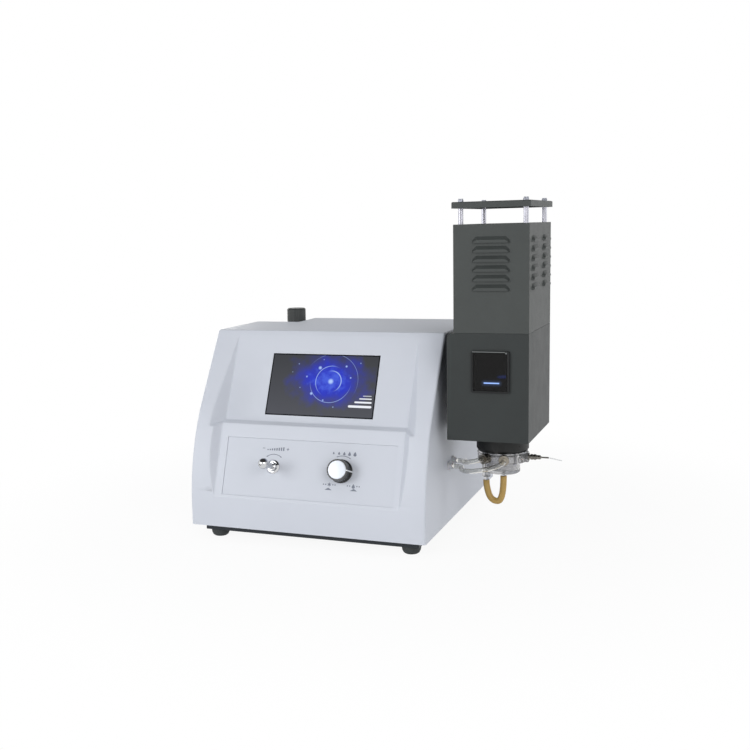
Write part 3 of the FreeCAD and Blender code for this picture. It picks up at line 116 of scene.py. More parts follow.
def outOf(tree, kind, links=(), which=0, **settings):
    return addNode(tree, kind, links, **settings).outputs[which]


def sumOf(tree, operation, first, second=0.0, third=None):
    links = {0: first, 1: second}
    if third is not None:
        links[2] = third
    return outOf(tree, "ShaderNodeMath", links, operation=operation)


def times(tree, first, second):
    return sumOf(tree, "MULTIPLY", first, second)


def greatest(tree, sources):
    most = sources[0]
    for other in sources[1:]:
        most = sumOf(tree, "MAXIMUM", most, other)
    return most


def combine(tree, **parts):
    return outOf(tree, "ShaderNodeCombineXYZ", {key.upper(): value for key, value in parts.items()})


def vectorOf(tree, operation, first, second=None):
    links = {0: first} if second is None else {0: first, 1: second}
    which = "Value" if operation in ("LENGTH", "DOT_PRODUCT") else "Vector"
    return outOf(tree, "ShaderNodeVectorMath", links, which, operation=operation)


def ramp(tree, value, low, high, start=0.0, end=1.0, curve="SMOOTHSTEP"):
    return outOf(tree, "ShaderNodeMapRange", {"Value": value, "From Min": low, "From Max": high,
                                              "To Min": start, "To Max": end}, interpolation_type=curve)


def blend(tree, amount, first, second):
    return outOf(tree, "ShaderNodeMix", {0: amount, 6: first, 7: second}, 2, data_type="RGBA")


def objectPlace(tree):
    return outOf(tree, "ShaderNodeTexCoord", which="Object")


def newMaterial(name):
    made = bpy.data.materials.new(name)
    made.use_nodes = True
    return made, made.node_tree, made.node_tree.nodes["Principled BSDF"]


camera = dict(place=at(532.9, -1481.7, 426.6), yaw=22.9, pitch=8.3, roll=-1.5,
              focal=1072.3, centre=(293.7, 382.5), frame=750, sensor=36)


def buildCamera(spec):
    data = bpy.data.cameras.new("camera")
    data.sensor_width = spec["sensor"]
    data.lens = spec["sensor"] * spec["focal"] / spec["frame"]
    data.shift_x = (spec["frame"] / 2 - spec["centre"][0]) / spec["frame"]
    data.shift_y = (spec["centre"][1] - spec["frame"] / 2) / spec["frame"]
    obj = putIn("camera", data)
    obj.matrix_world = Matrix.Translation(spec["place"])
    for degrees, axis in ((spec["yaw"], "Z"), (90 - spec["pitch"], "X"), (spec["roll"], "Z")):
        obj.matrix_world = obj.matrix_world @ Matrix.Rotation(math.radians(degrees), 4, axis)
    scene.camera = obj


buildCamera(camera)
scene.view_settings.view_transform = "Standard"

lamps = [
    dict(name="rightLamp", place=(1350, -1650, 900), aim=(40, -60, 190), power=13, colour=(1.0, 0.99, 0.975)),
    dict(name="leftLamp", place=(-1250, -1900, 800), aim=(0, -100, 190), power=19, colour=(0.99, 0.995, 1.0)),
    dict(name="rearLeftLamp", place=(-1500, 1500, 420), aim=(0, 60, 190), power=11, colour=(1.0, 0.99, 0.98)),
    dict(name="sideLamp", place=(2100, 700, 420), aim=(40, 60, 190), power=7, colour=(1.0, 0.99, 0.98)),
]
lampSize = 1.2


def buildLamp(spec):
    data = bpy.data.lights.new(spec["name"], "AREA")
    data.shape = "DISK"
    data.size = lampSize
    data.energy = spec["power"]
    data.color = spec["colour"]
    obj = putIn(spec["name"], data)
    place, aim = at(*spec["place"]), at(*spec["aim"])
    obj.location = place
    obj.rotation_euler = (aim - place).to_track_quat("-Z", "Y").to_euler()


for spec in lamps:
    buildLamp(spec)

# Dark cards that only polished metal and gloss see, as black flags beside a product on a studio table.
darkCards = dict(tone=0.015, cards=[
    dict(name="ceilingCard", middle=(0, -300, 1700), across=(2300, 0, 0), along=(0, 1900, 0)),
    dict(name="lowLeftCard", middle=(-560, -560, 3), across=(380, 0, 0), along=(0, 230, 0)),
    dict(name="lowRightCard", middle=(900, -2200, 250), across=(260, 130, 0), along=(0, 0, 220)),
])


def buildSheet(name, corners, material):
    # One flat face for the stage.
    mesh = bpy.data.meshes.new(name)
    mesh.from_pydata([tuple(corner) for corner in corners], [], [(0, 1, 2, 3)])
    mesh.materials.append(material)
    return putIn(name, mesh)


def buildCards(spec):
    dark, _, shader = newMaterial("darkCard")
    setInputs(shader, {"Base Color": (*[spec["tone"]] * 3, 1)})
    for card in spec["cards"]:
        centre, across, along = (Vector(card[key]) for key in ("middle", "across", "along"))
        signs = ((-1, -1), (1, -1), (1, 1), (-1, 1))
        obj = buildSheet(card["name"], [at(*(centre + across * sx + along * sy)) for sx, sy in signs], dark)
        for ray in ("camera", "diffuse", "transmission", "volume_scatter", "shadow"):
            setattr(obj, "visible_" + ray, False)


buildCards(darkCards)

studio = dict(air=(0.965, 0.98, 1.0, 1), ambient=0.43, seen=1.0)


def seenDirectly(tree):
    # One where the eye, a mirror or a glass looks, nought where light only bounces.
    ray = addNode(tree, "LightPath").outputs
    return greatest(tree, [ray["Is " + kind + " Ray"] for kind in ("Camera", "Transmission", "Glossy")])


def buildWorld(spec):
    world = bpy.data.worlds.new("studio")
    scene.world = world
    world.use_nodes = True
    tree = world.node_tree
    tree.nodes.clear()
    soft = outOf(tree, "Background", {"Color": spec["air"], "Strength": spec["ambient"]})
    white = outOf(tree, "Background", {"Color": (1, 1, 1, 1), "Strength": spec["seen"]})
    mix = outOf(tree, "MixShader", {0: seenDirectly(tree), 1: soft, 2: white})
    addNode(tree, "OutputWorld", {"Surface": mix})


buildWorld(studio)
print("camera and light ready")


def socketKind(label, value):
    # The kind of socket a value fits; geometry and materials have no value, so their label says it.
    if isinstance(value, tuple):
        return "Color" if len(value) == 4 else "Vector"
    return {bool: "Bool", int: "Int", float: "Float"}.get(type(value), label)


def newGroup(name, kind, inputs, outputs):
    # A node group with named sockets: kind is "Shader" or "Geometry".
    group = bpy.data.node_groups.new(name, kind + "NodeTree")
    for direction, sockets in (("INPUT", inputs), ("OUTPUT", outputs)):
        for label, value in sockets.items():
            socketType = "NodeSocket" + socketKind(label, value)
            socket = group.interface.new_socket(label, in_out=direction, socket_type=socketType)
            if value is not None:
                socket.default_value = value
    return group, addNode(group, "NodeGroupInput").outputs, addNode(group, "NodeGroupOutput").inputs


noPlace = (0, 0, 0)
surfaceForm = dict(patchScale=140.0, patchLow=0.62, patchHigh=0.78, grainHeight=0.0004)


def buildSurfaceGroup(spec):
    # Shared by every finish: slow drift of tone, uneven gloss, a fine grain and a few paler rubs.
    group, given, result = newGroup("surfaceDetail", "Shader", {
        "Base": (0.5, 0.5, 0.5, 1), "Drift": 0.1, "Drift Scale": 12.0, "Rough": 0.5, "Uneven": 0.1, "Grain": 900.0,
        "Depth": 0.1, "Stretch": (1, 1, 1), "Rubs": 0.0},
        {"Color": (0, 0, 0, 1), "Roughness": 0.0, "Normal": noPlace})
    place = objectPlace(group)
    stretched = vectorOf(group, "MULTIPLY", place, given["Stretch"])
    slow = outOf(group, "TexNoise", {"Vector": place, "Scale": given["Drift Scale"], "Detail": 4.0}, "Fac")
    fine = outOf(group, "TexNoise", {"Vector": stretched, "Scale": given["Grain"], "Detail": 3.0}, "Fac")
    patches = outOf(group, "TexNoise", {"Vector": stretched, "Scale": spec["patchScale"], "Detail": 6.0,
                                        "Roughness": 0.7}, "Fac")
    swing = sumOf(group, "SUBTRACT", slow, 0.5)
    worn = ramp(group, patches, spec["patchLow"], spec["patchHigh"], curve="LINEAR")
    rubbed = times(group, worn, given["Rubs"])
    tone = sumOf(group, "ADD", sumOf(group, "MULTIPLY_ADD", swing, given["Drift"], 1.0), rubbed)
    colour = outOf(group, "VectorMath", {0: given["Base"], "Scale": tone}, operation="SCALE")
    gloss = sumOf(group, "MULTIPLY_ADD", swing, given["Uneven"], given["Rough"])
    bump = outOf(group, "Bump", {"Strength": given["Depth"], "Distance": spec["grainHeight"], "Height": fine})
    for source, label in ((colour, "Color"), (gloss, "Roughness"), (bump, "Normal")):
        group.links.new(source, result[label])
    return group


surfaceGroup = buildSurfaceGroup(surfaceForm)

# What a finish has where its own entry says nothing.
plainFinish = dict(drift=0.05, driftScale=14.0, uneven=0.05, grain=900, depth=0.05, stretch=(1, 1, 1), rubs=0.0,
                   metallic=0, transmission=0, ior=1.5, gloss=0.5)
# "on" names the solids that wear a finish; the others are for pieces made here.
finishes = {
    "cabinetPlastic": dict(
        on="cabinet", base=tint(205, 209, 218), rough=0.45, uneven=0.1, grain=1400, depth=0.12, gloss=0.25),
    "platePlastic": dict(
        on="control_plate", base=tint(204, 208, 217), drift=0.03, rough=0.48, uneven=0.06, grain=2200,
        depth=0.06, gloss=0.22),
    "columnPaint": dict(
        on="column_bracket burner_housing", base=tint(37, 42, 42), drift=0.4, driftScale=42, rough=0.5,
        uneven=0.16, grain=1500, depth=0.3, rubs=0.1, gloss=0.4),
    # A lighter copy of the column paint on the chimney and lid: painted light for the brighter top of the column.
    "columnTop": dict(
        on="chimney lid", base=tint(57, 61, 60), drift=0.38, driftScale=38, rough=0.52, uneven=0.16, grain=1500,
        depth=0.3, rubs=0.12, gloss=0.45),
    "trayPaint": dict(
        on="chassis_tray", base=tint(40, 45, 50), drift=0.08, rough=0.45, uneven=0.1, grain=1500, depth=0.2,
        gloss=0.3),
    "zincSteel": dict(
        on="display_module regulator_bracket power_supply bracket_bolts", base=tint(176, 178, 178), metallic=1,
        rough=0.34, uneven=0.25, drift=0.12, driftScale=60, grain=800, depth=0.08),
    "chrome": dict(
        on="valve_nuts fine_knob", base=tint(205, 206, 208), metallic=1, rough=0.05, uneven=0.04, drift=0.04,
        driftScale=60, grain=600, depth=0.004),
    "nickel": dict(
        on="air_inlet_fitting regulator_outlet port_fittings", base=tint(146, 140, 130), metallic=1, rough=0.16,
        uneven=0.14, drift=0.2, driftScale=90, grain=700),
    "darkNickel": dict(
        base=tint(122, 119, 114), metallic=1, rough=0.2, uneven=0.14, drift=0.2, driftScale=90, grain=700,
        depth=0.04),
    "paleNylon": dict(on="hose_bulkheads", base=tint(198, 200, 204), rough=0.35, uneven=0.1, subsurface=0.1),
    "stainless": dict(
        on="lid_posts", base=tint(158, 158, 166), metallic=1, rough=0.24, uneven=0.12, grain=500, depth=0.003,
        stretch=(3, 3, 0.2)),
    "screwSteel": dict(
        base=tint(132, 134, 142), metallic=1, rough=0.3, uneven=0.1, drift=0.1, driftScale=80, grain=700,
        depth=0.03),
    "dullSteel": dict(base=tint(120, 124, 124), metallic=0.6, rough=0.35, uneven=0.1, grain=800, depth=0.03),
    "burnerSteel": dict(
        on="burner_head", base=tint(150, 140, 128), metallic=1, rough=0.4, uneven=0.3, drift=0.35,
        driftScale=50, grain=700, depth=0.2),
    "brass": dict(
        on="board_standoffs fine_valve gas_valve gas_supply_barb", base=tint(205, 168, 88), metallic=1,
        rough=0.25, uneven=0.15, drift=0.1, grain=600, depth=0.06),
    "turnedSilver": dict(
        on="gas_knob_cap", base=tint(212, 217, 226), metallic=0.25, rough=0.36, uneven=0.08, drift=0.03,
        depth=0.04),
    "blackKnob": dict(
        on="gas_knob", base=tint(15, 16, 18), drift=0.1, rough=0.28, uneven=0.12, grain=1800, depth=0.08,
        gloss=0.6),
    "ribbedBlack": dict(
        on="regulator_knob", base=tint(56, 59, 58), drift=0.14, rough=0.42, uneven=0.12, grain=1500, depth=0.2),
    "blackGloss": dict(
        on="switch_rocker", base=tint(18, 20, 20), drift=0.08, rough=0.18, uneven=0.08, depth=0.04),
    "blackMatte": dict(
        on="mains_inlet switch_bezel regulator_drain regulator_gauge optics_tube filter_holder detector "
           "burner_collar",
        base=tint(21, 23, 23), drift=0.12, rough=0.5, uneven=0.14, grain=1600, depth=0.25, gloss=0.35),
    "rubber": dict(on="feet", base=tint(50, 54, 55), drift=0.2, rough=0.72, uneven=0.15, grain=1100, depth=0.4),
    "rearPaint": dict(
        on="rear_panel", base=tint(186, 191, 200), drift=0.04, rough=0.45, uneven=0.1, grain=1300, depth=0.3),
    "dieCast": dict(
        on="regulator_body", base=tint(160, 163, 168), metallic=0.3, drift=0.08, rough=0.45, uneven=0.12,
        grain=1200, depth=0.35),
    "boardGreen": dict(
        on="display_board main_board", base=tint(26, 92, 58), drift=0.2, driftScale=90, rough=0.3, uneven=0.15,
        grain=600, depth=0.15),
    "whitePorous": dict(
        on="filter_element", base=tint(226, 226, 220), drift=0.1, driftScale=120, rough=0.85, depth=0.8),
    "ceramic": dict(on="igniter", base=tint(232, 229, 218), rough=0.2, uneven=0.1, grain=700),
    "needleRed": dict(on="gauge_needle", base=tint(190, 34, 26), drift=0.04, rough=0.4),
    "printGrey": dict(base=tint(116, 122, 136), drift=0.1, rough=0.55, grain=2500),
    "printWhite": dict(base=tint(226, 229, 233), drift=0.03, rough=0.5, grain=2500),
    "printBlack": dict(base=tint(24, 25, 27), rough=0.5, grain=2500),
    "dialWhite": dict(base=tint(232, 232, 228), drift=0.03, rough=0.45, grain=1500, depth=0.04),
    "floorPaper": dict(base=tint(252, 252, 252), drift=0.01, driftScale=2, rough=0.9, grain=300, depth=0.02),
    "clearAcrylic": dict(
        on="mixing_chamber drain_nipples", base=(0.70, 0.70, 0.71, 1), transmission=0.86, ior=1.4, drift=0.08,
        driftScale=60, rough=0.2, uneven=0.2, grain=400),
    "clearBowl": dict(
        on="regulator_bowl gauge_glass", base=(0.90, 0.94, 0.96, 1), transmission=1, ior=1.45, drift=0.01,
        rough=0.05, uneven=0.03, grain=400, depth=0.02),
    "clearHose": dict(
        base=(0.84, 0.84, 0.82, 1), transmission=1, ior=1.36, driftScale=80, rough=0.04, uneven=0.06, grain=600,
        depth=0.04),
    "amberLatex": dict(
        base=tint(180, 148, 82), drift=0.16, driftScale=70, rough=0.42, uneven=0.12, depth=0.15,
        subsurface=0.15),
    "smokedGlass": dict(
        on="window_pane", base=(0.08, 0.085, 0.09, 1), transmission=1, ior=1.3, rough=0.04, uneven=0.02,
        grain=500, depth=0.01, gloss=0.3),
    "windowBlack": dict(on="window_frame", base=tint(27, 29, 30), drift=0.1, rough=0.5, uneven=0.1, gloss=0.25),
    "filterYellow": dict(
        on="optical_filter", base=(0.95, 0.68, 0.08, 1), transmission=0.9, drift=0.03, rough=0.05, grain=400,
        depth=0.01),
    "paleCapillary": dict(on="capillary", base=tint(226, 228, 230), rough=0.3, depth=0.03),
}


def buildMaterial(name, entry):
    spec = {**plainFinish, **entry}
    made, tree, shader = newMaterial(name)
    detail = addNode(tree, "Group", node_tree=surfaceGroup)
    for socket in detail.inputs:  # "Drift Scale" takes driftScale
        socket.default_value = spec[socket.name[0].lower() + socket.name[1:].replace(" ", "")]
    for label, socket in (("Color", "Base Color"), ("Roughness", "Roughness"), ("Normal", "Normal")):
        tree.links.new(detail.outputs[label], shader.inputs[socket])
    setInputs(shader, {"Metallic": spec["metallic"], "Transmission Weight": spec["transmission"],
                       "IOR": spec["ior"], "Specular IOR Level": spec["gloss"]})
    if "subsurface" in spec:
        setInputs(shader, {"Subsurface Weight": spec["subsurface"], "Subsurface Radius": (0.004, 0.002, 0.001),
                           "Subsurface Scale": 1.0})
    return made


materials = {name: buildMaterial(name, spec) for name, spec in finishes.items()}
print("materials ready:", len(materials))


def buildShadingGroup(sharpAngle=28, weldReach=0.000002):
    # Welds a CAD mesh and smooths it except at real edges.
    group, given, result = newGroup("cadShading", "Geometry", {
        "Geometry": None, "Sharp Angle": math.radians(sharpAngle)}, {"Geometry": None})
    weld = outOf(group, "MergeByDistance", {"Geometry": given["Geometry"], "Distance": weldReach})
    smooth = outOf(group, "SetShadeSmooth", {"Geometry": weld}, domain="FACE")
    edge = outOf(group, "InputMeshEdgeAngle", which="Unsigned Angle")
    soft = outOf(group, "FunctionNodeCompare", {0: edge, 1: given["Sharp Angle"]}, operation="LESS_THAN")
    edges = outOf(group, "SetShadeSmooth", {"Geometry": smooth, "Shade Smooth": soft}, domain="EDGE")
    group.links.new(edges, result["Geometry"])
    return group


shadingGroup = buildShadingGroup()


def finishNode(name, material):
    obj = nodes[name]
    obj.data.materials.clear()
    obj.data.materials.append(material)
    obj.modifiers.new("cadShading", "NODES").node_group = shadingGroup


wearers = [(name, finish) for finish, spec in finishes.items() for name in spec.get("on", "").split()]
for name, finish in wearers:
    finishNode(name, materials[finish])
print("solids finished:", len(wearers))


# The lit picture under the cover glass: a blue glow on charcoal, with light arcs, sparks and level bars.
# Clouds: scale, raggedness, start. Arcs: x, y, radius, width, strength, direction. Bars: x, y, length, height,
# strength. Sparks: x, y, size, strength.
splash = dict(
    half=(78.5, 44.5), border=1.6, edge=(0.004, 0.004, 0.005, 1), glass=(0.006, 0.007, 0.009, 1), gloss=0.25,
    smear=(0.08, 0.12, 0.08), light=1.0, charcoal=tint(80, 81, 87), dusk=tint(62, 63, 66), glow=tint(44, 56, 196),
    core=tint(88, 118, 238), coreStrength=0.55, spark=tint(178, 205, 255), bar=tint(240, 243, 250),
    glowPlace=(10, 8), glowReach=(66, 47), glowCloud=(0.045, 1.0, 0.15), coreReach=(30, 20),
    coreCloud=(0.11, 2.4, 0.0), cloudEnd=1.05, fall=(-44.0, 44.0), arcSoft=2, sparkSize=0.3, sparkSoft=1.2,
    barSize=0.8, barSoft=0.4, barStrength=1.15,
    arcs=[(12, 6, 15, 0.55, 0.9, 20), (12, 6, 22, 0.4, 0.8, 150), (12, 6, 30, 0.32, 0.7, 265),
          (12, 6, 39, 0.25, 0.5, 60)],
    bars=[(58, -28, 30, 1.7, 1.0), (62, -22, 22, 1.2, 0.95), (65, -17, 16, 0.8, 0.8), (67, -13, 11, 0.5, 0.55)],
    sparks=[(-6, 25, 2.2, 0.9), (32, 28, 1.4, 0.8), (40, 12, 1.1, 0.8), (-24, 12, 1.3, 0.6), (-14, -12, 1.9, 0.9),
            (4, -21, 1.2, 0.7), (-38, 30, 0.9, 0.5), (52, 33, 0.9, 0.5), (-32, -4, 0.8, 0.5), (20, -30, 0.9, 0.6),
            (12, 6, 3.4, 1.0), (-46, 18, 0.7, 0.45), (-2, 37, 0.8, 0.5)],
)


def buildGlowGroup():
    # A soft-edged light in the picture, and the painted flame reflection in the window glass: a dot, or a level bar
    # where it has a length.
    group, given, result = newGroup("pictureLight", "Shader", {
        "Vector": noPlace, "Place": noPlace, "Half Length": 0.0, "Size": 1.0, "Softness": 1.0, "Strength": 1.0},
        {"Light": 0.0})
    away = vectorOf(group, "SUBTRACT", given["Vector"], given["Place"])
    parts = addNode(group, "SeparateXYZ", {0: away}).outputs
    across = sumOf(group, "SUBTRACT", sumOf(group, "ABSOLUTE", parts["X"]), given["Half Length"])
    past = sumOf(group, "MAXIMUM", across)
    reach = vectorOf(group, "LENGTH", combine(group, x=past, y=parts["Y"]))
    outer = sumOf(group, "ADD", given["Size"], given["Softness"])
    fade = ramp(group, reach, given["Size"], outer, 1.0, 0.0)
    group.links.new(times(group, fade, given["Strength"]), result["Light"])
    return group


glowGroup = buildGlowGroup()


def buildArcGroup(fadeFrom=-0.1, fadeTo=0.95):
    # A thin ring in the picture that fades away from one direction.
    group, given, result = newGroup("pictureArc", "Shader", {
        "Vector": noPlace, "Place": noPlace, "Radius": 10.0, "Width": 0.5, "Direction": (1, 0, 0),
        "Strength": 1.0}, {"Light": 0.0})
    away = vectorOf(group, "SUBTRACT", given["Vector"], given["Place"])
    facing = vectorOf(group, "DOT_PRODUCT", vectorOf(group, "NORMALIZE", away), given["Direction"])
    off = sumOf(group, "ABSOLUTE", sumOf(group, "SUBTRACT", vectorOf(group, "LENGTH", away), given["Radius"]))
    line = ramp(group, off, 0.0, given["Width"], 1.0, 0.0)
    lit = times(group, line, ramp(group, facing, fadeFrom, fadeTo))
    group.links.new(times(group, lit, given["Strength"]), result["Light"])
    return group


def flatPlace(tree, x, y, z, tilt=0):
    # Millimetres across and up from here on a face that leans back by tilt.
    where = outOf(tree, "Mapping", {"Vector": objectPlace(tree), "Location": at(x, y, z),
                                    "Rotation": (math.radians(90 - tilt), 0, 0), "Scale": (0.001, 0.001, 0.001)},
                  vector_type="TEXTURE")
    return vectorOf(tree, "MULTIPLY", where, (1, 1, 0))


def pictureLight(tree, group, flat, values):
    node = addNode(tree, "Group", node_tree=group)
    tree.links.new(flat, node.inputs["Vector"])
    setInputs(node, values)
    return node.outputs["Light"]


def buildSplash(spec, floor):
    made, tree, shader = newMaterial("litScreen")
    flat = flatPlace(tree, **floor)
    lights = [pictureLight(tree, glowGroup, flat, {
        "Place": (x, y, 0), "Size": size * spec["sparkSize"], "Softness": size * spec["sparkSoft"],
        "Strength": strength}) for x, y, size, strength in spec["sparks"]]
    bars = [pictureLight(tree, glowGroup, flat, {
        "Place": (x, y, 0), "Half Length": long / 2, "Size": tall * spec["barSize"], "Softness": spec["barSoft"],
        "Strength": strength * spec["barStrength"]}) for x, y, long, tall, strength in spec["bars"]]
    arcGroup = buildArcGroup()
    lights += [pictureLight(tree, arcGroup, flat, {
        "Place": (x, y, 0), "Radius": radius, "Width": width * spec["arcSoft"], "Strength": strength,
        "Direction": (*around(0, 0, 1, math.radians(turn)), 0)})
        for x, y, radius, width, strength, turn in spec["arcs"]]

    # a wide blue glow with a paler heart, both broken up by drifting cloud
    offset = vectorOf(tree, "SUBTRACT", flat, (*spec["glowPlace"], 0))

    def cloudy(reach, scale, ragged, start):
        cloud = outOf(tree, "TexNoise", {"Vector": flat, "Scale": scale, "Detail": 4.0}, "Fac")
        shrunk = vectorOf(tree, "MULTIPLY", offset, (1 / reach[0], 1 / reach[1], 0))
        away = vectorOf(tree, "LENGTH", shrunk)
        drifted = sumOf(tree, "MULTIPLY_ADD", sumOf(tree, "SUBTRACT", cloud, 0.5), -ragged, away)
        return ramp(tree, drifted, start, spec["cloudEnd"], 1.0, 0.0)

    blue = cloudy(spec["glowReach"], *spec["glowCloud"])
    heart = times(tree, cloudy(spec["coreReach"], *spec["coreCloud"]), spec["coreStrength"])
    height = outOf(tree, "SeparateXYZ", {0: flat}, "Y")
    fall = ramp(tree, height, *spec["fall"], curve="LINEAR")
    lit = blend(tree, blue, blend(tree, fall, spec["charcoal"], spec["dusk"]), spec["glow"])
    for mask, colour in ((heart, "core"), (greatest(tree, lights), "spark"), (greatest(tree, bars), "bar")):
        lit = blend(tree, mask, lit, spec[colour])
    # dark border under the edge of the glass
    sides = addNode(tree, "SeparateXYZ", {0: vectorOf(tree, "ABSOLUTE", flat)}).outputs
    inside = [sumOf(tree, "LESS_THAN", sides[index], spec["half"][index] - spec["border"]) for index in (0, 1)]
    emitted = blend(tree, times(tree, *inside), spec["edge"], lit)
    scale, uneven, rough = spec["smear"]
    smear = outOf(tree, "TexNoise", {"Vector": flat, "Scale": scale, "Detail": 5.0}, "Fac")
    tree.links.new(sumOf(tree, "MULTIPLY_ADD", smear, uneven, rough), shader.inputs["Roughness"])
    tree.links.new(emitted, shader.inputs["Emission Color"])
    setInputs(shader, {"Emission Strength": spec["light"], "Base Color": spec["glass"],
                       "Specular IOR Level": spec["gloss"]})
    return made


# A painted reflection of the flame's light in the dark glass of the view window: the glass itself glows as a short
# blue line.
paneFlameReflection = dict(place=(242.3, -154, 224), half=9.2, size=0.4, soft=0.7, halo=5.0, haloStrength=0.05,
                 colour=tint(150, 185, 255), light=1.0)


def paintPaneReflection(spec):
    tree = materials["smokedGlass"].node_tree
    shader = tree.nodes["Principled BSDF"]
    flat = flatPlace(tree, *spec["place"])
    glows = [pictureLight(tree, glowGroup, flat, {"Half Length": spec["half"], "Size": spec["size"],
                                                  "Softness": soft, "Strength": strength})
             for soft, strength in ((spec["soft"], 1.0), (spec["halo"], spec["haloStrength"]))]
    lit = blend(tree, greatest(tree, glows), (0, 0, 0, 1), spec["colour"])
    tree.links.new(lit, shader.inputs["Emission Color"])
    setInputs(shader, {"Emission Strength": spec["light"]})


paintPaneReflection(paneFlameReflection)
finishNode("display_glass", buildSplash(splash, screenFloor))
print("screen lit")


def addPiece(name, mesh, finish, body="instrument", replaced=()):
    obj = putIn(name, mesh)
    mesh.name = name
    mesh.materials.clear()
    mesh.materials.append(materials[finish])
    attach(obj, body)
    if replaced:
        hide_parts(*replaced)
    return obj


floorSpec = dict(half=9, near=0.92, inner=0.28, outer=0.75)


def buildFloor(spec):
    # White paper that keeps the shadow near the instrument and fades into the white behind it.
    paper = materials["floorPaper"]
    tree = paper.node_tree
    out = next(node for node in tree.nodes if node.type == "OUTPUT_MATERIAL")
    fade = ramp(tree, vectorOf(tree, "LENGTH", objectPlace(tree)), spec["inner"], spec["outer"], spec["near"])
    amount = times(tree, seenDirectly(tree), fade)
    shader = tree.nodes["Principled BSDF"].outputs[0]
    mix = outOf(tree, "MixShader", {0: amount, 1: shader, 2: outOf(tree, "Emission")})
    tree.links.new(mix, out.inputs["Surface"])
    half = spec["half"]
    buildSheet("floor", [(-half, -half, 0), (half, -half, 0), (half, half, 0), (-half, half, 0)], paper)


buildFloor(floorSpec)

burner = dict(x=240.5, y=-75, portZ=116)


def offPort(turn, reach):
    return (*around(burner["x"], burner["y"], reach, math.radians(turn)), burner["portZ"])


gasTurn, airTurn = 243.4, 283.7
clearTube = dict(radius=3.3, wall=0.8, finish="clearHose", slot="hose_clear", stiffness="medium")
hoses = [
    dict(clearTube, name="gasHose", node="gas_hose", length=0.0981,
         points=[offPort(gasTurn, 43), offPort(gasTurn, 53.5), (204, -122, 113), (194, -108, 110.5),
                 (190, -88, 108), (188.5, -62, 101), (174, -62, 101)]),
    dict(clearTube, name="airHose", node="air_hose", length=0.1205,
         points=[offPort(airTurn, 43), offPort(airTurn, 55), (238, -134, 109), (220, -133, 105),
                 (203, -124, 101), (191, -106, 98.5), (188, -84, 98), (174, -84, 98)]),
    dict(name="drainTube", node="drain_tube", radius=4.3, wall=None, finish="amberLatex", slot="amber_tube",
         stiffness="limp", length=0.0763,
         points=[(242.8, -80, 88), (242.8, -80, 52.6), (226, -80, 52.6), (219.5, -80, 72), (219.5, -80, 81)]),
]


def buildHose(spec, stepsAlong=12, stepsRound=8):
    curve = bpy.data.curves.new(spec["name"], "CURVE")
    curve.dimensions = "3D"
    curve.resolution_u = stepsAlong
    curve.bevel_depth = spec["radius"] / 1000
    curve.bevel_resolution = stepsRound
    curve.use_fill_caps = spec["wall"] is None
    spline = curve.splines.new("NURBS")
    spline.points.add(len(spec["points"]) - 1)
    for point, place in zip(spline.points, spec["points"]):
        point.co = (*at(*place), 1)
    spline.order_u = 3
    spline.use_endpoint_u = True
    curve.materials.append(materials[spec["finish"]])
    obj = putIn(spec["name"], curve)
    if spec["wall"]:
        wall = obj.modifiers.new("wall", "SOLIDIFY")
        wall.thickness = spec["wall"] / 1000
        wall.offset = -1
    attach(obj, "instrument")
    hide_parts(spec["node"])


for spec in hoses:
    buildHose(spec)
print("hoses ready")


def plainMesh(maker):
    # What an object's modifiers or its curve make, kept as a mesh of its own.
    made = bpy.data.meshes.new_from_object(maker.evaluated_get(bpy.context.evaluated_depsgraph_get()))
    bpy.data.objects.remove(maker)
    return made


def grow(name, group, spots, settings, place=None):
    # Runs a Geometry Nodes tree on a few points.
    points = bpy.data.meshes.new(name + "Points")
    points.from_pydata([tuple(spot) for spot in spots], [], [])
    maker = putIn(name + "Maker", points)
    modifier = maker.modifiers.new(name, "NODES")
    modifier.node_group = group
    for item in group.interface.items_tree:
        if item.in_out == "INPUT" and item.name in settings:
            modifier[item.identifier] = settings[item.name]
    made = plainMesh(maker)
    made.name = name
    if place:
        made.transform(place)
    return made


def paint(group, geometry, given, result):
    # Ends a repeat: real meshes in the material that was asked for.
    real = outOf(group, "RealizeInstances", {0: geometry})
    painted = outOf(group, "SetMaterial", {"Geometry": real, "Material": given["Material"]})
    group.links.new(painted, result["Geometry"])


# Shares of a screw's head and shank, and how many sides its round parts have.
screwShape = dict(shoulder=0.62, crown=0.38, crossTop=0.72, socketTop=0.9, armWide=0.34, armLong=2.1, deep=1.1,
                  ribs=28, ribRadius=0.055, ribTall=0.86, ribPlace=0.52, sides=32, shankSides=16)


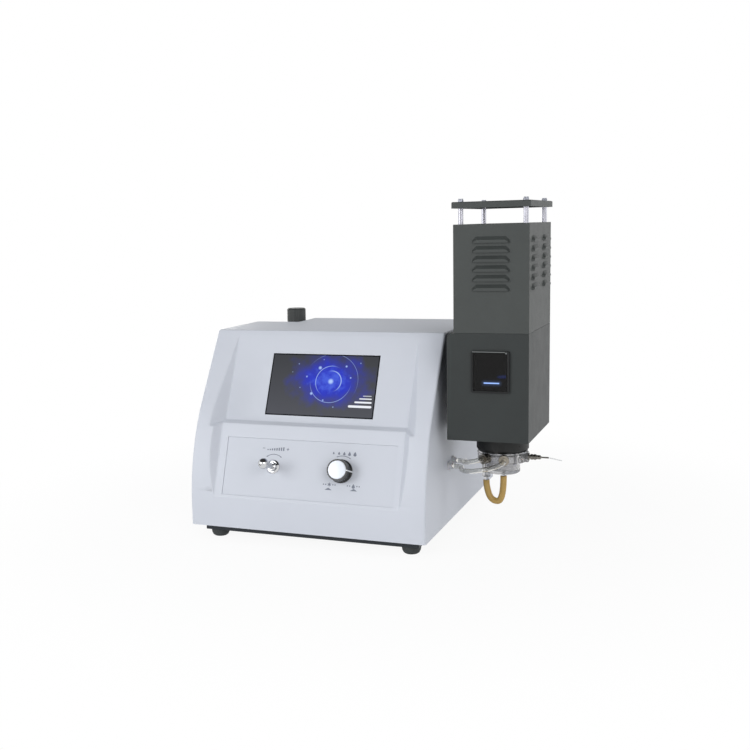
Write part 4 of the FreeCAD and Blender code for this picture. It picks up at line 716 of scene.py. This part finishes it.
def buildScrewGroup(shape):
    # A row of screws: round head with a hexagon socket and ribbed rim, or a cross recess.
    group, given, result = newGroup("screwRow", "Geometry", {
        "Geometry": None, "Head Radius": 0.003, "Head Height": 0.002, "Shank Radius": 0.0015,
        "Shank Length": 0.01, "Recess": 0.0015, "Socket": False, "Turn": noPlace, "Seed": 1, "Material": None},
        {"Geometry": None})

    def raised(mesh, height):
        return outOf(group, "Transform", {"Geometry": mesh, "Translation": combine(group, z=height)})

    def rod(radius, depth, height, sides=6):
        made = outOf(group, "MeshCylinder", {"Vertices": sides, "Radius": radius, "Depth": depth}, "Mesh")
        return raised(made, height)

    def united(meshes):
        union = addNode(group, "MeshBoolean", operation="UNION")
        for mesh in meshes:
            group.links.new(mesh, union.inputs["Mesh 2"])
        return union.outputs[0]

    radius, height, hole, shankLength = (
        given[label] for label in ("Head Radius", "Head Height", "Recess", "Shank Length"))
    shoulder = times(group, height, shape["shoulder"])
    narrow = outOf(group, "Switch", {0: given["Socket"], 1: shape["crossTop"], 2: shape["socketTop"]},
                   input_type="FLOAT")
    cone = outOf(group, "MeshCone", {
        "Vertices": shape["sides"], "Radius Top": times(group, radius, narrow), "Radius Bottom": radius,
        "Depth": times(group, height, shape["crown"])}, "Mesh")
    head = united([rod(radius, shoulder, times(group, shoulder, 0.5), shape["sides"]), raised(cone, shoulder)])
    depth = times(group, height, shape["deep"])
    arms = []
    for across, along in ((shape["armWide"], shape["armLong"]), (shape["armLong"], shape["armWide"])):
        size = combine(group, x=times(group, hole, across), y=times(group, hole, along), z=depth)
        arms.append(raised(outOf(group, "MeshCube", {"Size": size}, "Mesh"), height))
    recess = outOf(group, "Switch", {0: given["Socket"], 1: united(arms), 2: rod(hole, depth, height)},
                   input_type="GEOMETRY")
    cut = addNode(group, "MeshBoolean", {"Mesh 1": head}, operation="DIFFERENCE")
    group.links.new(recess, cut.inputs["Mesh 2"])
    # ribs round a socket head
    rim = outOf(group, "MeshCircle", {"Vertices": shape["ribs"], "Radius": radius}, "Mesh")
    rib = rod(times(group, radius, shape["ribRadius"]), times(group, shoulder, shape["ribTall"]), 0.0)
    ribs = outOf(group, "InstanceOnPoints", {"Points": raised(rim, times(group, shoulder, shape["ribPlace"])),
                                             "Instance": rib})
    ribs = outOf(group, "Switch", {0: given["Socket"], 2: ribs}, input_type="GEOMETRY")
    shank = rod(given["Shank Radius"], shankLength, times(group, shankLength, -0.5), shape["shankSides"])
    screw = addNode(group, "JoinGeometry")
    for part in (shank, ribs, cut.outputs[0]):
        group.links.new(part, screw.inputs[0])
    row = outOf(group, "InstanceOnPoints", {"Points": given["Geometry"], "Instance": screw.outputs[0],
                                            "Rotation": given["Turn"]})
    spin = outOf(group, "FunctionNodeRandomValue", {2: 0.0, 3: 2 * math.pi, "Seed": given["Seed"]}, 1,
                 data_type="FLOAT")
    turned = outOf(group, "RotateInstances", {"Instances": row, "Rotation": combine(group, z=spin),
                                              "Local Space": True})
    paint(group, turned, given, result)
    return group


screwGroup = buildScrewGroup(screwShape)
screwSizes = ("Head Radius", "Head Height", "Shank Radius", "Shank Length", "Recess")
crossHead = dict(finish="zincSteel", slot="zinc_steel", socket=False)


def fourCorners(x, y, halfWide, halfDeep, z):
    return [(x + halfWide * sx, y + halfDeep * sy, z) for sx in (-1, 1) for sy in (-1, 1)]


screwRows = [
    dict(name="lidScrews", nodes=["lid_screws"], finish="screwSteel", slot="stainless", sizes=(3.35, 4, 2, 10, 1.6),
         socket=True, turn=(0, 0, 0), spots=fourCorners(241, -74.2, 41, 65, 451)),
    dict(crossHead, name="rearScrews", nodes=["rear_screws"], sizes=(2.6, 1.8, 1.3, 3.9, 1.25),
         turn=(-quarter, 0, 0), spots=[(x, 200, z) for x in (-84, 35, 154) for z in (32, 156)]),
    dict(crossHead, name="chassisScrews", nodes=["chassis_screws"], sizes=(3.2, 2, 1.65, 11, 1.5),
         turn=(math.pi, 0, 0), spots=fourCorners(0, 0, 160, 150, 30)),
    dict(name="chamberScrews", nodes=["chamber_screws"], finish="stainless", slot="stainless",
         sizes=(3, 2, 1.65, 22, 1.4), socket=False, turn=(math.pi, 0, 0),
         spots=fourCorners(burner["x"], burner["y"], 19.8, 19.8, 109)),
    dict(name="collarGrubScrew", nodes=[], finish="blackGloss", slot="black_plastic", sizes=(1.7, 0.5, 1.2, 4, 0.9),
         socket=True, turn=(0, quarter, math.radians(-37.6)), spots=[(267.7, -95.9, 131.8)]),
]


def buildScrewRow(spec, seed):
    settings = {label: size / 1000 for label, size in zip(screwSizes, spec["sizes"])}
    settings |= {"Socket": spec["socket"], "Turn": spec["turn"], "Seed": seed, "Material": materials[spec["finish"]]}
    mesh = grow(spec["name"], screwGroup, [at(*spot) for spot in spec["spots"]], settings)
    addPiece(spec["name"], mesh, spec["finish"], replaced=spec["nodes"])


for seed, spec in enumerate(screwRows, 1):
    buildScrewRow(spec, seed)
print("screws ready")

flames = dict(radius=1.5, height=3.2, base=220.1, ring=6, holes=10, inner=3, light=0.5, seed=3, sides=12, rings=3,
              point=0.15, heights=(0.82, 1.1), root=tint(70, 110, 255), tip=tint(130, 165, 255))


def buildFlameGroup(spec):
    # Small blue cones, one over each hole of the burner, none quite as tall as the next.
    group, given, result = newGroup("flameCones", "Geometry", {
        "Geometry": None, "Radius": 0.0011, "Height": 0.004, "Seed": 3, "Material": None}, {"Geometry": None})
    cone = outOf(group, "MeshCone", {
        "Vertices": spec["sides"], "Side Segments": spec["rings"], "Radius Top": spec["point"] / 1000,
        "Radius Bottom": given["Radius"], "Depth": given["Height"]}, "Mesh")
    low, high = spec["heights"]
    tall = outOf(group, "FunctionNodeRandomValue", {2: low, 3: high, "Seed": given["Seed"]}, 1, data_type="FLOAT")
    row = outOf(group, "InstanceOnPoints", {"Points": given["Geometry"], "Instance": cone,
                                            "Scale": combine(group, x=1.0, y=1.0, z=tall)})
    paint(group, row, given, result)
    return group


def buildFlames(spec):
    made, tree, shader = newMaterial("flameBlue")
    materials["flameBlue"] = made
    height = outOf(tree, "SeparateXYZ", {0: objectPlace(tree)}, "Z")
    climb = ramp(tree, height, spec["base"] / 1000, (spec["base"] + spec["height"]) / 1000, curve="LINEAR")
    colour = blend(tree, climb, spec["root"], spec["tip"])
    for label in ("Emission Color", "Base Color"):
        tree.links.new(colour, shader.inputs[label])
    setInputs(shader, {"Emission Strength": spec["light"]})
    holes = [around(0, 0, spec["ring"], 2 * math.pi * hole / spec["holes"]) for hole in range(spec["holes"])]
    holes += [(x * spec["inner"], y * spec["inner"]) for x, y in ((0, 0), (1, 0), (-1, 0), (0, 1), (0, -1))]
    spots = [at(burner["x"] + x, burner["y"] + y, spec["base"]) for x, y in holes]
    mesh = grow("flames", buildFlameGroup(spec), spots, {
        "Radius": spec["radius"] / 1000, "Height": spec["height"] / 1000, "Seed": spec["seed"], "Material": made})
    addPiece("flames", mesh, "flameBlue")


buildFlames(flames)
print("flames lit")


def buildTickGroup():
    # Printed marks on an arc: every so many is a longer one.
    group, given, result = newGroup("scaleTicks", "Geometry", {
        "Geometry": None, "Radius": 0.015, "From": 0.0, "Sweep": 4.7, "Count": 21, "Length": 0.0015,
        "Width": 0.0003, "Thick": 0.00006, "Long Every": 5, "Long Length": 0.003, "Material": None},
        {"Geometry": None})
    row = outOf(group, "MeshLine", {"Count": given["Count"]}, "Mesh", mode="OFFSET")
    index = outOf(group, "InputIndex")
    share = sumOf(group, "DIVIDE", index, sumOf(group, "SUBTRACT", given["Count"], 1.0))
    angle = sumOf(group, "MULTIPLY_ADD", share, given["Sweep"], given["From"])
    isLong = sumOf(group, "LESS_THAN", sumOf(group, "MODULO", index, given["Long Every"]), 0.5)
    spread = sumOf(group, "SUBTRACT", given["Long Length"], given["Length"])
    length = sumOf(group, "MULTIPLY_ADD", isLong, spread, given["Length"])
    reach = sumOf(group, "SUBTRACT", given["Radius"], times(group, length, 0.5))
    spot = combine(group, x=times(group, reach, sumOf(group, "COSINE", angle)),
                   y=times(group, reach, sumOf(group, "SINE", angle)))
    placed = outOf(group, "SetPosition", {"Geometry": row, "Position": spot})
    bar = outOf(group, "MeshCube", {"Size": (1, 1, 1)}, "Mesh")
    size = combine(group, x=length, y=given["Width"], z=given["Thick"])
    ticks = outOf(group, "InstanceOnPoints", {"Points": placed, "Instance": bar, "Rotation": combine(group, z=angle),
                                              "Scale": size})
    paint(group, ticks, given, result)
    return group


def meshOf(made, place=None):
    # A finished shape as a mesh in its place.
    mesh = bpy.data.meshes.new("shape")
    made.to_mesh(mesh)
    made.free()
    if place:
        mesh.transform(place)
    return mesh


def disc(radius, thick, place, sides=64):
    made = bmesh.new()
    bmesh.ops.create_cone(made, cap_ends=True, segments=sides, radius1=radius, radius2=radius, depth=thick)
    return meshOf(made, place)


def figureMesh(text, size, thick, place):
    # A printed figure, made a mesh before it is placed.
    curve = bpy.data.curves.new("figure" + text, "FONT")
    curve.body = text
    curve.size = size
    curve.extrude = thick / 2
    curve.align_x, curve.align_y = "CENTER", "CENTER"
    mesh = plainMesh(putIn("figureMaker", curve))
    mesh.transform(place)
    return mesh


def joined(meshes):
    made = bmesh.new()
    for mesh in meshes:
        made.from_mesh(mesh)
    return meshOf(made)


# The gauge faces the rear: its own frame looks along +Y, with up still up.
gauge = dict(x=-126, y=132, z=238, radius=17.6, thick=0.1, faceOut=0.06, inkOut=0.13, start=225, sweep=-270,
             ticks={"Radius": 0.0166, "Count": 41, "Length": 0.0014, "Width": 0.00022, "Thick": 0.00006,
                    "Long Every": 4, "Long Length": 0.0028},
             figures=[(0, "0"), (0.25, "1"), (0.5, "2"), (0.75, "3"), (1, "4")], figureRing=10.4, figureSize=3.4,
             figureInk=0.05)


def buildGaugeFace(spec):
    face = Matrix.Translation(at(spec["x"], spec["y"], spec["z"])) @ turnTo((-1, 0, 0), (0, 0, 1), (0, 1, 0))
    lift = Matrix.Translation((0, 0, spec["faceOut"] / 1000))
    dial = disc(spec["radius"] / 1000, spec["thick"] / 1000, face @ lift)
    addPiece("gaugeFace", dial, "dialWhite")
    printed = face @ Matrix.Translation((0, 0, spec["inkOut"] / 1000))
    marks = [grow("gaugeTicks", buildTickGroup(), [noPlace], {
        **spec["ticks"], "From": math.radians(spec["start"]), "Sweep": math.radians(spec["sweep"]),
        "Material": materials["printBlack"]}, printed)]
    for share, figure in spec["figures"]:
        turn = math.radians(spec["start"] + share * spec["sweep"])
        spot = (*around(0, 0, spec["figureRing"], turn), 0)
        place = printed @ toMetres @ Matrix.Translation(spot)
        marks.append(figureMesh(figure, spec["figureSize"], spec["figureInk"], place))
    addPiece("gaugeMarks", joined(marks), "printBlack")


buildGaugeFace(gauge)
print("gauge face printed")


def slab(outline, low, high, place):
    # A flat outline given thickness, from low to high.
    made = bmesh.new()
    face = made.faces.new([made.verts.new((x, y, low)) for x, y in outline])
    grown = bmesh.ops.extrude_face_region(made, geom=[face])
    raised = [item for item in grown["geom"] if isinstance(item, bmesh.types.BMVert)]
    bmesh.ops.translate(made, verts=raised, vec=(0, 0, high - low))
    bmesh.ops.recalc_face_normals(made, faces=made.faces)
    return meshOf(made, place)


def arcBand(x, y, radius, start, end, width, steps=24):
    # The outline of a narrow band along an arc.
    turns = [math.radians(start + (end - start) * step / steps) for step in range(steps + 1)]
    outer, inner = ([around(x, y, reach, turn) for turn in turns]
                    for reach in (radius + width / 2, radius - width / 2))
    return outer + inner[::-1]


def arrowHead(x, y, radius, turn, way, size, flare=0.45):
    # A small triangle at the end of an arc, pointing along it.
    angle = math.radians(turn)
    tip = around(*around(x, y, radius, angle), size, angle + way * quarter)
    return [tip, around(x, y, radius + size * flare, angle), around(x, y, radius - size * flare, angle)]


def dropOutline(x, y, tall, steps=20, taper=1.6):
    # A flame sign: a drop with its point up.
    turns = [2 * math.pi * step / steps for step in range(steps)]
    return [(x + 0.5 * tall * math.sin(turn) * math.sin(turn / 2) ** taper, y + 0.5 * tall * math.cos(turn))
            for turn in turns]


def starOutline(x, y, outer, inner, points):
    return [around(x, y, reach, quarter - math.pi * step / points)
            for step, reach in enumerate((outer, inner) * points)]


def boxOutline(x, y, wide, tall):
    return [(x - wide / 2, y - tall / 2), (x + wide / 2, y - tall / 2),
            (x + wide / 2, y + tall / 2), (x - wide / 2, y + tall / 2)]


# Printed signs on the control plate, in millimetres across and up from its middle.
plateMarks = dict(
    inkLow=0.01, ink=0.05, line=0.9, arcs=[(-knobSide, 17.2, 124, 56), (knobSide, 20.6, 110, 62)], head=2.2,
    wedge=dict(x=-48, y=24.6, bars=8, pitch=3.3, wide=1.9, low=1.6, high=5.0, signs=17.8, sign=3.8),
    flames=dict(x=(36, 43.6, 51, 58.4, 66), y=26.3, tall=(3.6, 4.3, 5.0, 5.7, 6.4)),
    low=[dict(x=34.2, y=-16.2, kind="star"), dict(x=67.9, y=-16.2, kind="flame")],
    star=(3.3, 1.3, 6), flame=6.4, lowDots=(5.0, 8.2), dot=1.6,
    pointers=[(33.2, -23.5), (68.7, -22.7)], pointer=(10, 1.2, 2.9),
)


def wedgeOutlines(wedge, line):
    # Bars that grow from left to right, between a minus and a plus.
    outlines = []
    steps = wedge["bars"] - 1
    for bar in range(wedge["bars"]):
        tall = wedge["low"] + (wedge["high"] - wedge["low"]) * bar / steps
        outlines.append(boxOutline(wedge["x"] + (bar - steps / 2) * wedge["pitch"], wedge["y"] + tall / 2,
                                   wedge["wide"], tall))
    signY = wedge["y"] + wedge["high"] / 2
    for side in (-1, 1):
        outlines.append(boxOutline(wedge["x"] + side * wedge["signs"], signY, wedge["sign"], line))
    for half in (-1, 1):
        outlines.append(boxOutline(wedge["x"] + wedge["signs"], signY + half * (wedge["sign"] + line) / 4,
                                   line, (wedge["sign"] - line) / 2))
    return outlines


def buildPlateMarks(spec):
    outlines = []
    for x, radius, start, end in spec["arcs"]:
        outlines.append(arcBand(x, knobRise, radius, start, end, spec["line"]))
        outlines += [arrowHead(x, knobRise, radius, turn, way, spec["head"]) for turn, way in ((start, 1), (end, -1))]
    outlines += wedgeOutlines(spec["wedge"], spec["line"])
    flames = spec["flames"]
    outlines += [dropOutline(x, flames["y"], tall) for x, tall in zip(flames["x"], flames["tall"])]
    for sign in spec["low"]:
        spot = (sign["x"], sign["y"])
        star = sign["kind"] == "star"
        outlines.append(starOutline(*spot, *spec["star"]) if star else dropOutline(*spot, spec["flame"]))
        outlines += [boxOutline(sign["x"] + side * reach, sign["y"], spec["dot"], spec["dot"])
                     for reach in spec["lowDots"] for side in (-1, 1)]
    wide, top, tall = spec["pointer"]
    for x, y in spec["pointers"]:
        outlines.append([(x - wide / 2, y), (x + wide / 2, y), (x + top / 2, y + tall), (x - top / 2, y + tall)])
    plate = leaning(**panelFloor) @ Matrix.Translation((0, 0, -plateSunk))
    meshes = [slab(outline, spec["inkLow"], spec["ink"], plate) for outline in outlines]
    addPiece("plateMarks", joined(meshes), "printGrey")


buildPlateMarks(plateMarks)

# The white line on the gas knob, just proud of its face rim, its side and its skirt: outward and up from the plate.
pointerSpec = dict(wide=1.5, profile=[
    (12.6, 17.07), (14.42, 17.07), (14.82, 3.3), (15.82, 2.45), (15.82, 0.1), (14.55, 0.1), (13.55, 3.3),
    (13.15, 15.8), (12.6, 15.8)
])


def buildPointer(spec):
    knob = leaning(**panelFloor) @ Matrix.Translation((knobSide, knobRise, 0)) @ Matrix.Rotation(quarter, 4, "X")
    mesh = slab(spec["profile"], -spec["wide"] / 2, spec["wide"] / 2, knob)
    addPiece("gasKnobPointer", mesh, "printWhite", body="gas_knob")


buildPointer(pointerSpec)
print("plate and knob marked")


def lathe(profile, place, sides=40):
    # Turns a profile of (radius, height) pairs round the Z axis.
    made = bmesh.new()
    turns = [2 * math.pi * side / sides for side in range(sides)]
    rings = [[made.verts.new((*around(0, 0, radius, turn), height)) for turn in (turns if radius else turns[:1])]
             for radius, height in profile]
    for low, high in zip(rings, rings[1:]):
        for side in range(sides):
            after = (side + 1) % sides
            corners = [low[side % len(low)], low[after % len(low)], high[after % len(high)], high[side % len(high)]]
            made.faces.new(list(dict.fromkeys(corners)))
    bmesh.ops.recalc_face_normals(made, faces=made.faces)
    return meshOf(made, place)


nebuliser = dict(z=115, profile=[
    (0, 8), (1, 8), (1.5, 17), (3.95, 17.2), (3.95, 34.6), (4.7, 34.6), (4.9, 34.9), (4.9, 35.6), (4.6, 35.9),
    (2.4, 36), (2.4, 37.1), (3.5, 37.2), (3.8, 37.5), (3.8, 40.4), (3.5, 40.7), (3.1, 40.8), (3.1, 41.3),
    (3.5, 41.4), (3.8, 41.7), (3.8, 44.4), (3.5, 44.7), (2.7, 44.8), (2.85, 45.3), (2.85, 50), (2.5, 50.4),
    (1.5, 50.6), (1.3, 51.6), (1.05, 52), (1.05, 60.9), (0.9, 61), (0, 61)
])


def buildNebuliser(spec):
    alongX = drawnAt(burner["x"], burner["y"], spec["z"]) @ Matrix.Rotation(quarter, 4, "Y")
    obj = addPiece("nebuliserBody", lathe(spec["profile"], alongX), "darkNickel", replaced=["nebuliser"])
    obj.modifiers.new("smoothing", "NODES").node_group = shadingGroup


buildNebuliser(nebuliser)

gasket = dict(z=120.6, radius=33.15, thick=0.4, steps=12, sides=72)


def buildGasket(spec):
    turns = [2 * math.pi * step / spec["steps"] for step in range(spec["steps"] + 1)]
    ring = [around(spec["radius"], spec["z"], spec["thick"], turn) for turn in turns]
    mesh = lathe(ring, drawnAt(burner["x"], burner["y"], 0), spec["sides"])
    addPiece("chamberGasket", mesh, "rubber")


buildGasket(gasket)
print("burner pieces ready")

# A pale metal strip along the top edge of the window frame, held by a small pin at its right end. Strip and pin are
# real shapes, put there to give the highlight along the frame's top edge and on its corner: a painted highlight.
windowTrim = dict(x=(218.0, 259.4), z=263.6, y=-154.5, tall=0.75, proud=0.25, sunk=0.1, pin=261.0, pinDrop=1.2,
                  pinRadius=1.0, pinSides=24)


def buildWindowHighlightStrip(spec):
    left, right = spec["x"]
    facing = leaning(0, spec["y"], 0, 0)
    outline = boxOutline((left + right) / 2, spec["z"], right - left, spec["tall"])
    strip = slab(outline, -spec["sunk"], spec["proud"], facing)
    pinPlace = facing @ Matrix.Translation((spec["pin"], spec["z"] - spec["pinDrop"], spec["proud"] / 2))
    pin = disc(spec["pinRadius"], spec["proud"] * 2, pinPlace, spec["pinSides"])
    addPiece("windowTrim", joined([strip, pin]), "dullSteel")


buildWindowHighlightStrip(windowTrim)

# Mains inlet blades and the marks on the power switch, both on the rear.
inletBlades = dict(x=118, z=64, inside=-14, outside=-1.9, wide=2.1, tall=4.1, spots=[(-7, -1), (7, -1), (0, 3)])


def buildInletBlades(spec):
    facing = drawnAt(0, cabinetSize["rearY"], 0) @ Matrix.Rotation(-quarter, 4, "X")
    blades = [slab(boxOutline(spec["x"] + x, -(spec["z"] + z), spec["wide"], spec["tall"]), spec["inside"],
                   spec["outside"], facing) for x, z in spec["spots"]]
    addPiece("inletBlades", joined(blades), "nickel")


buildInletBlades(inletBlades)

rockerMarks = dict(x=118, y=199, z=112, tilt=-8, ends=3.6, waist=2.2, half=6.4, size=4.4, ink=0.06)


def buildRockerMarks(spec):
    rocker = drawnAt(spec["x"], spec["y"], spec["z"]) @ Matrix.Rotation(math.radians(spec["tilt"]), 4, "X")
    marks = []
    for figure, side in (("I", 1), ("O", -1)):
        across = Vector((-1, 0, 0))
        up = Vector((0, side * (spec["ends"] - spec["waist"]), spec["half"])).normalized()
        middleOut = Matrix.Translation((0, (spec["ends"] + spec["waist"]) / 2, side * spec["half"] / 2))
        place = rocker @ middleOut @ turnTo(across, up, across.cross(up))
        marks.append(figureMesh(figure, spec["size"], spec["ink"], place))
    addPiece("rockerMarks", joined(marks), "printWhite", body="power_rocker")


buildRockerMarks(rockerMarks)
print("rear fittings marked")
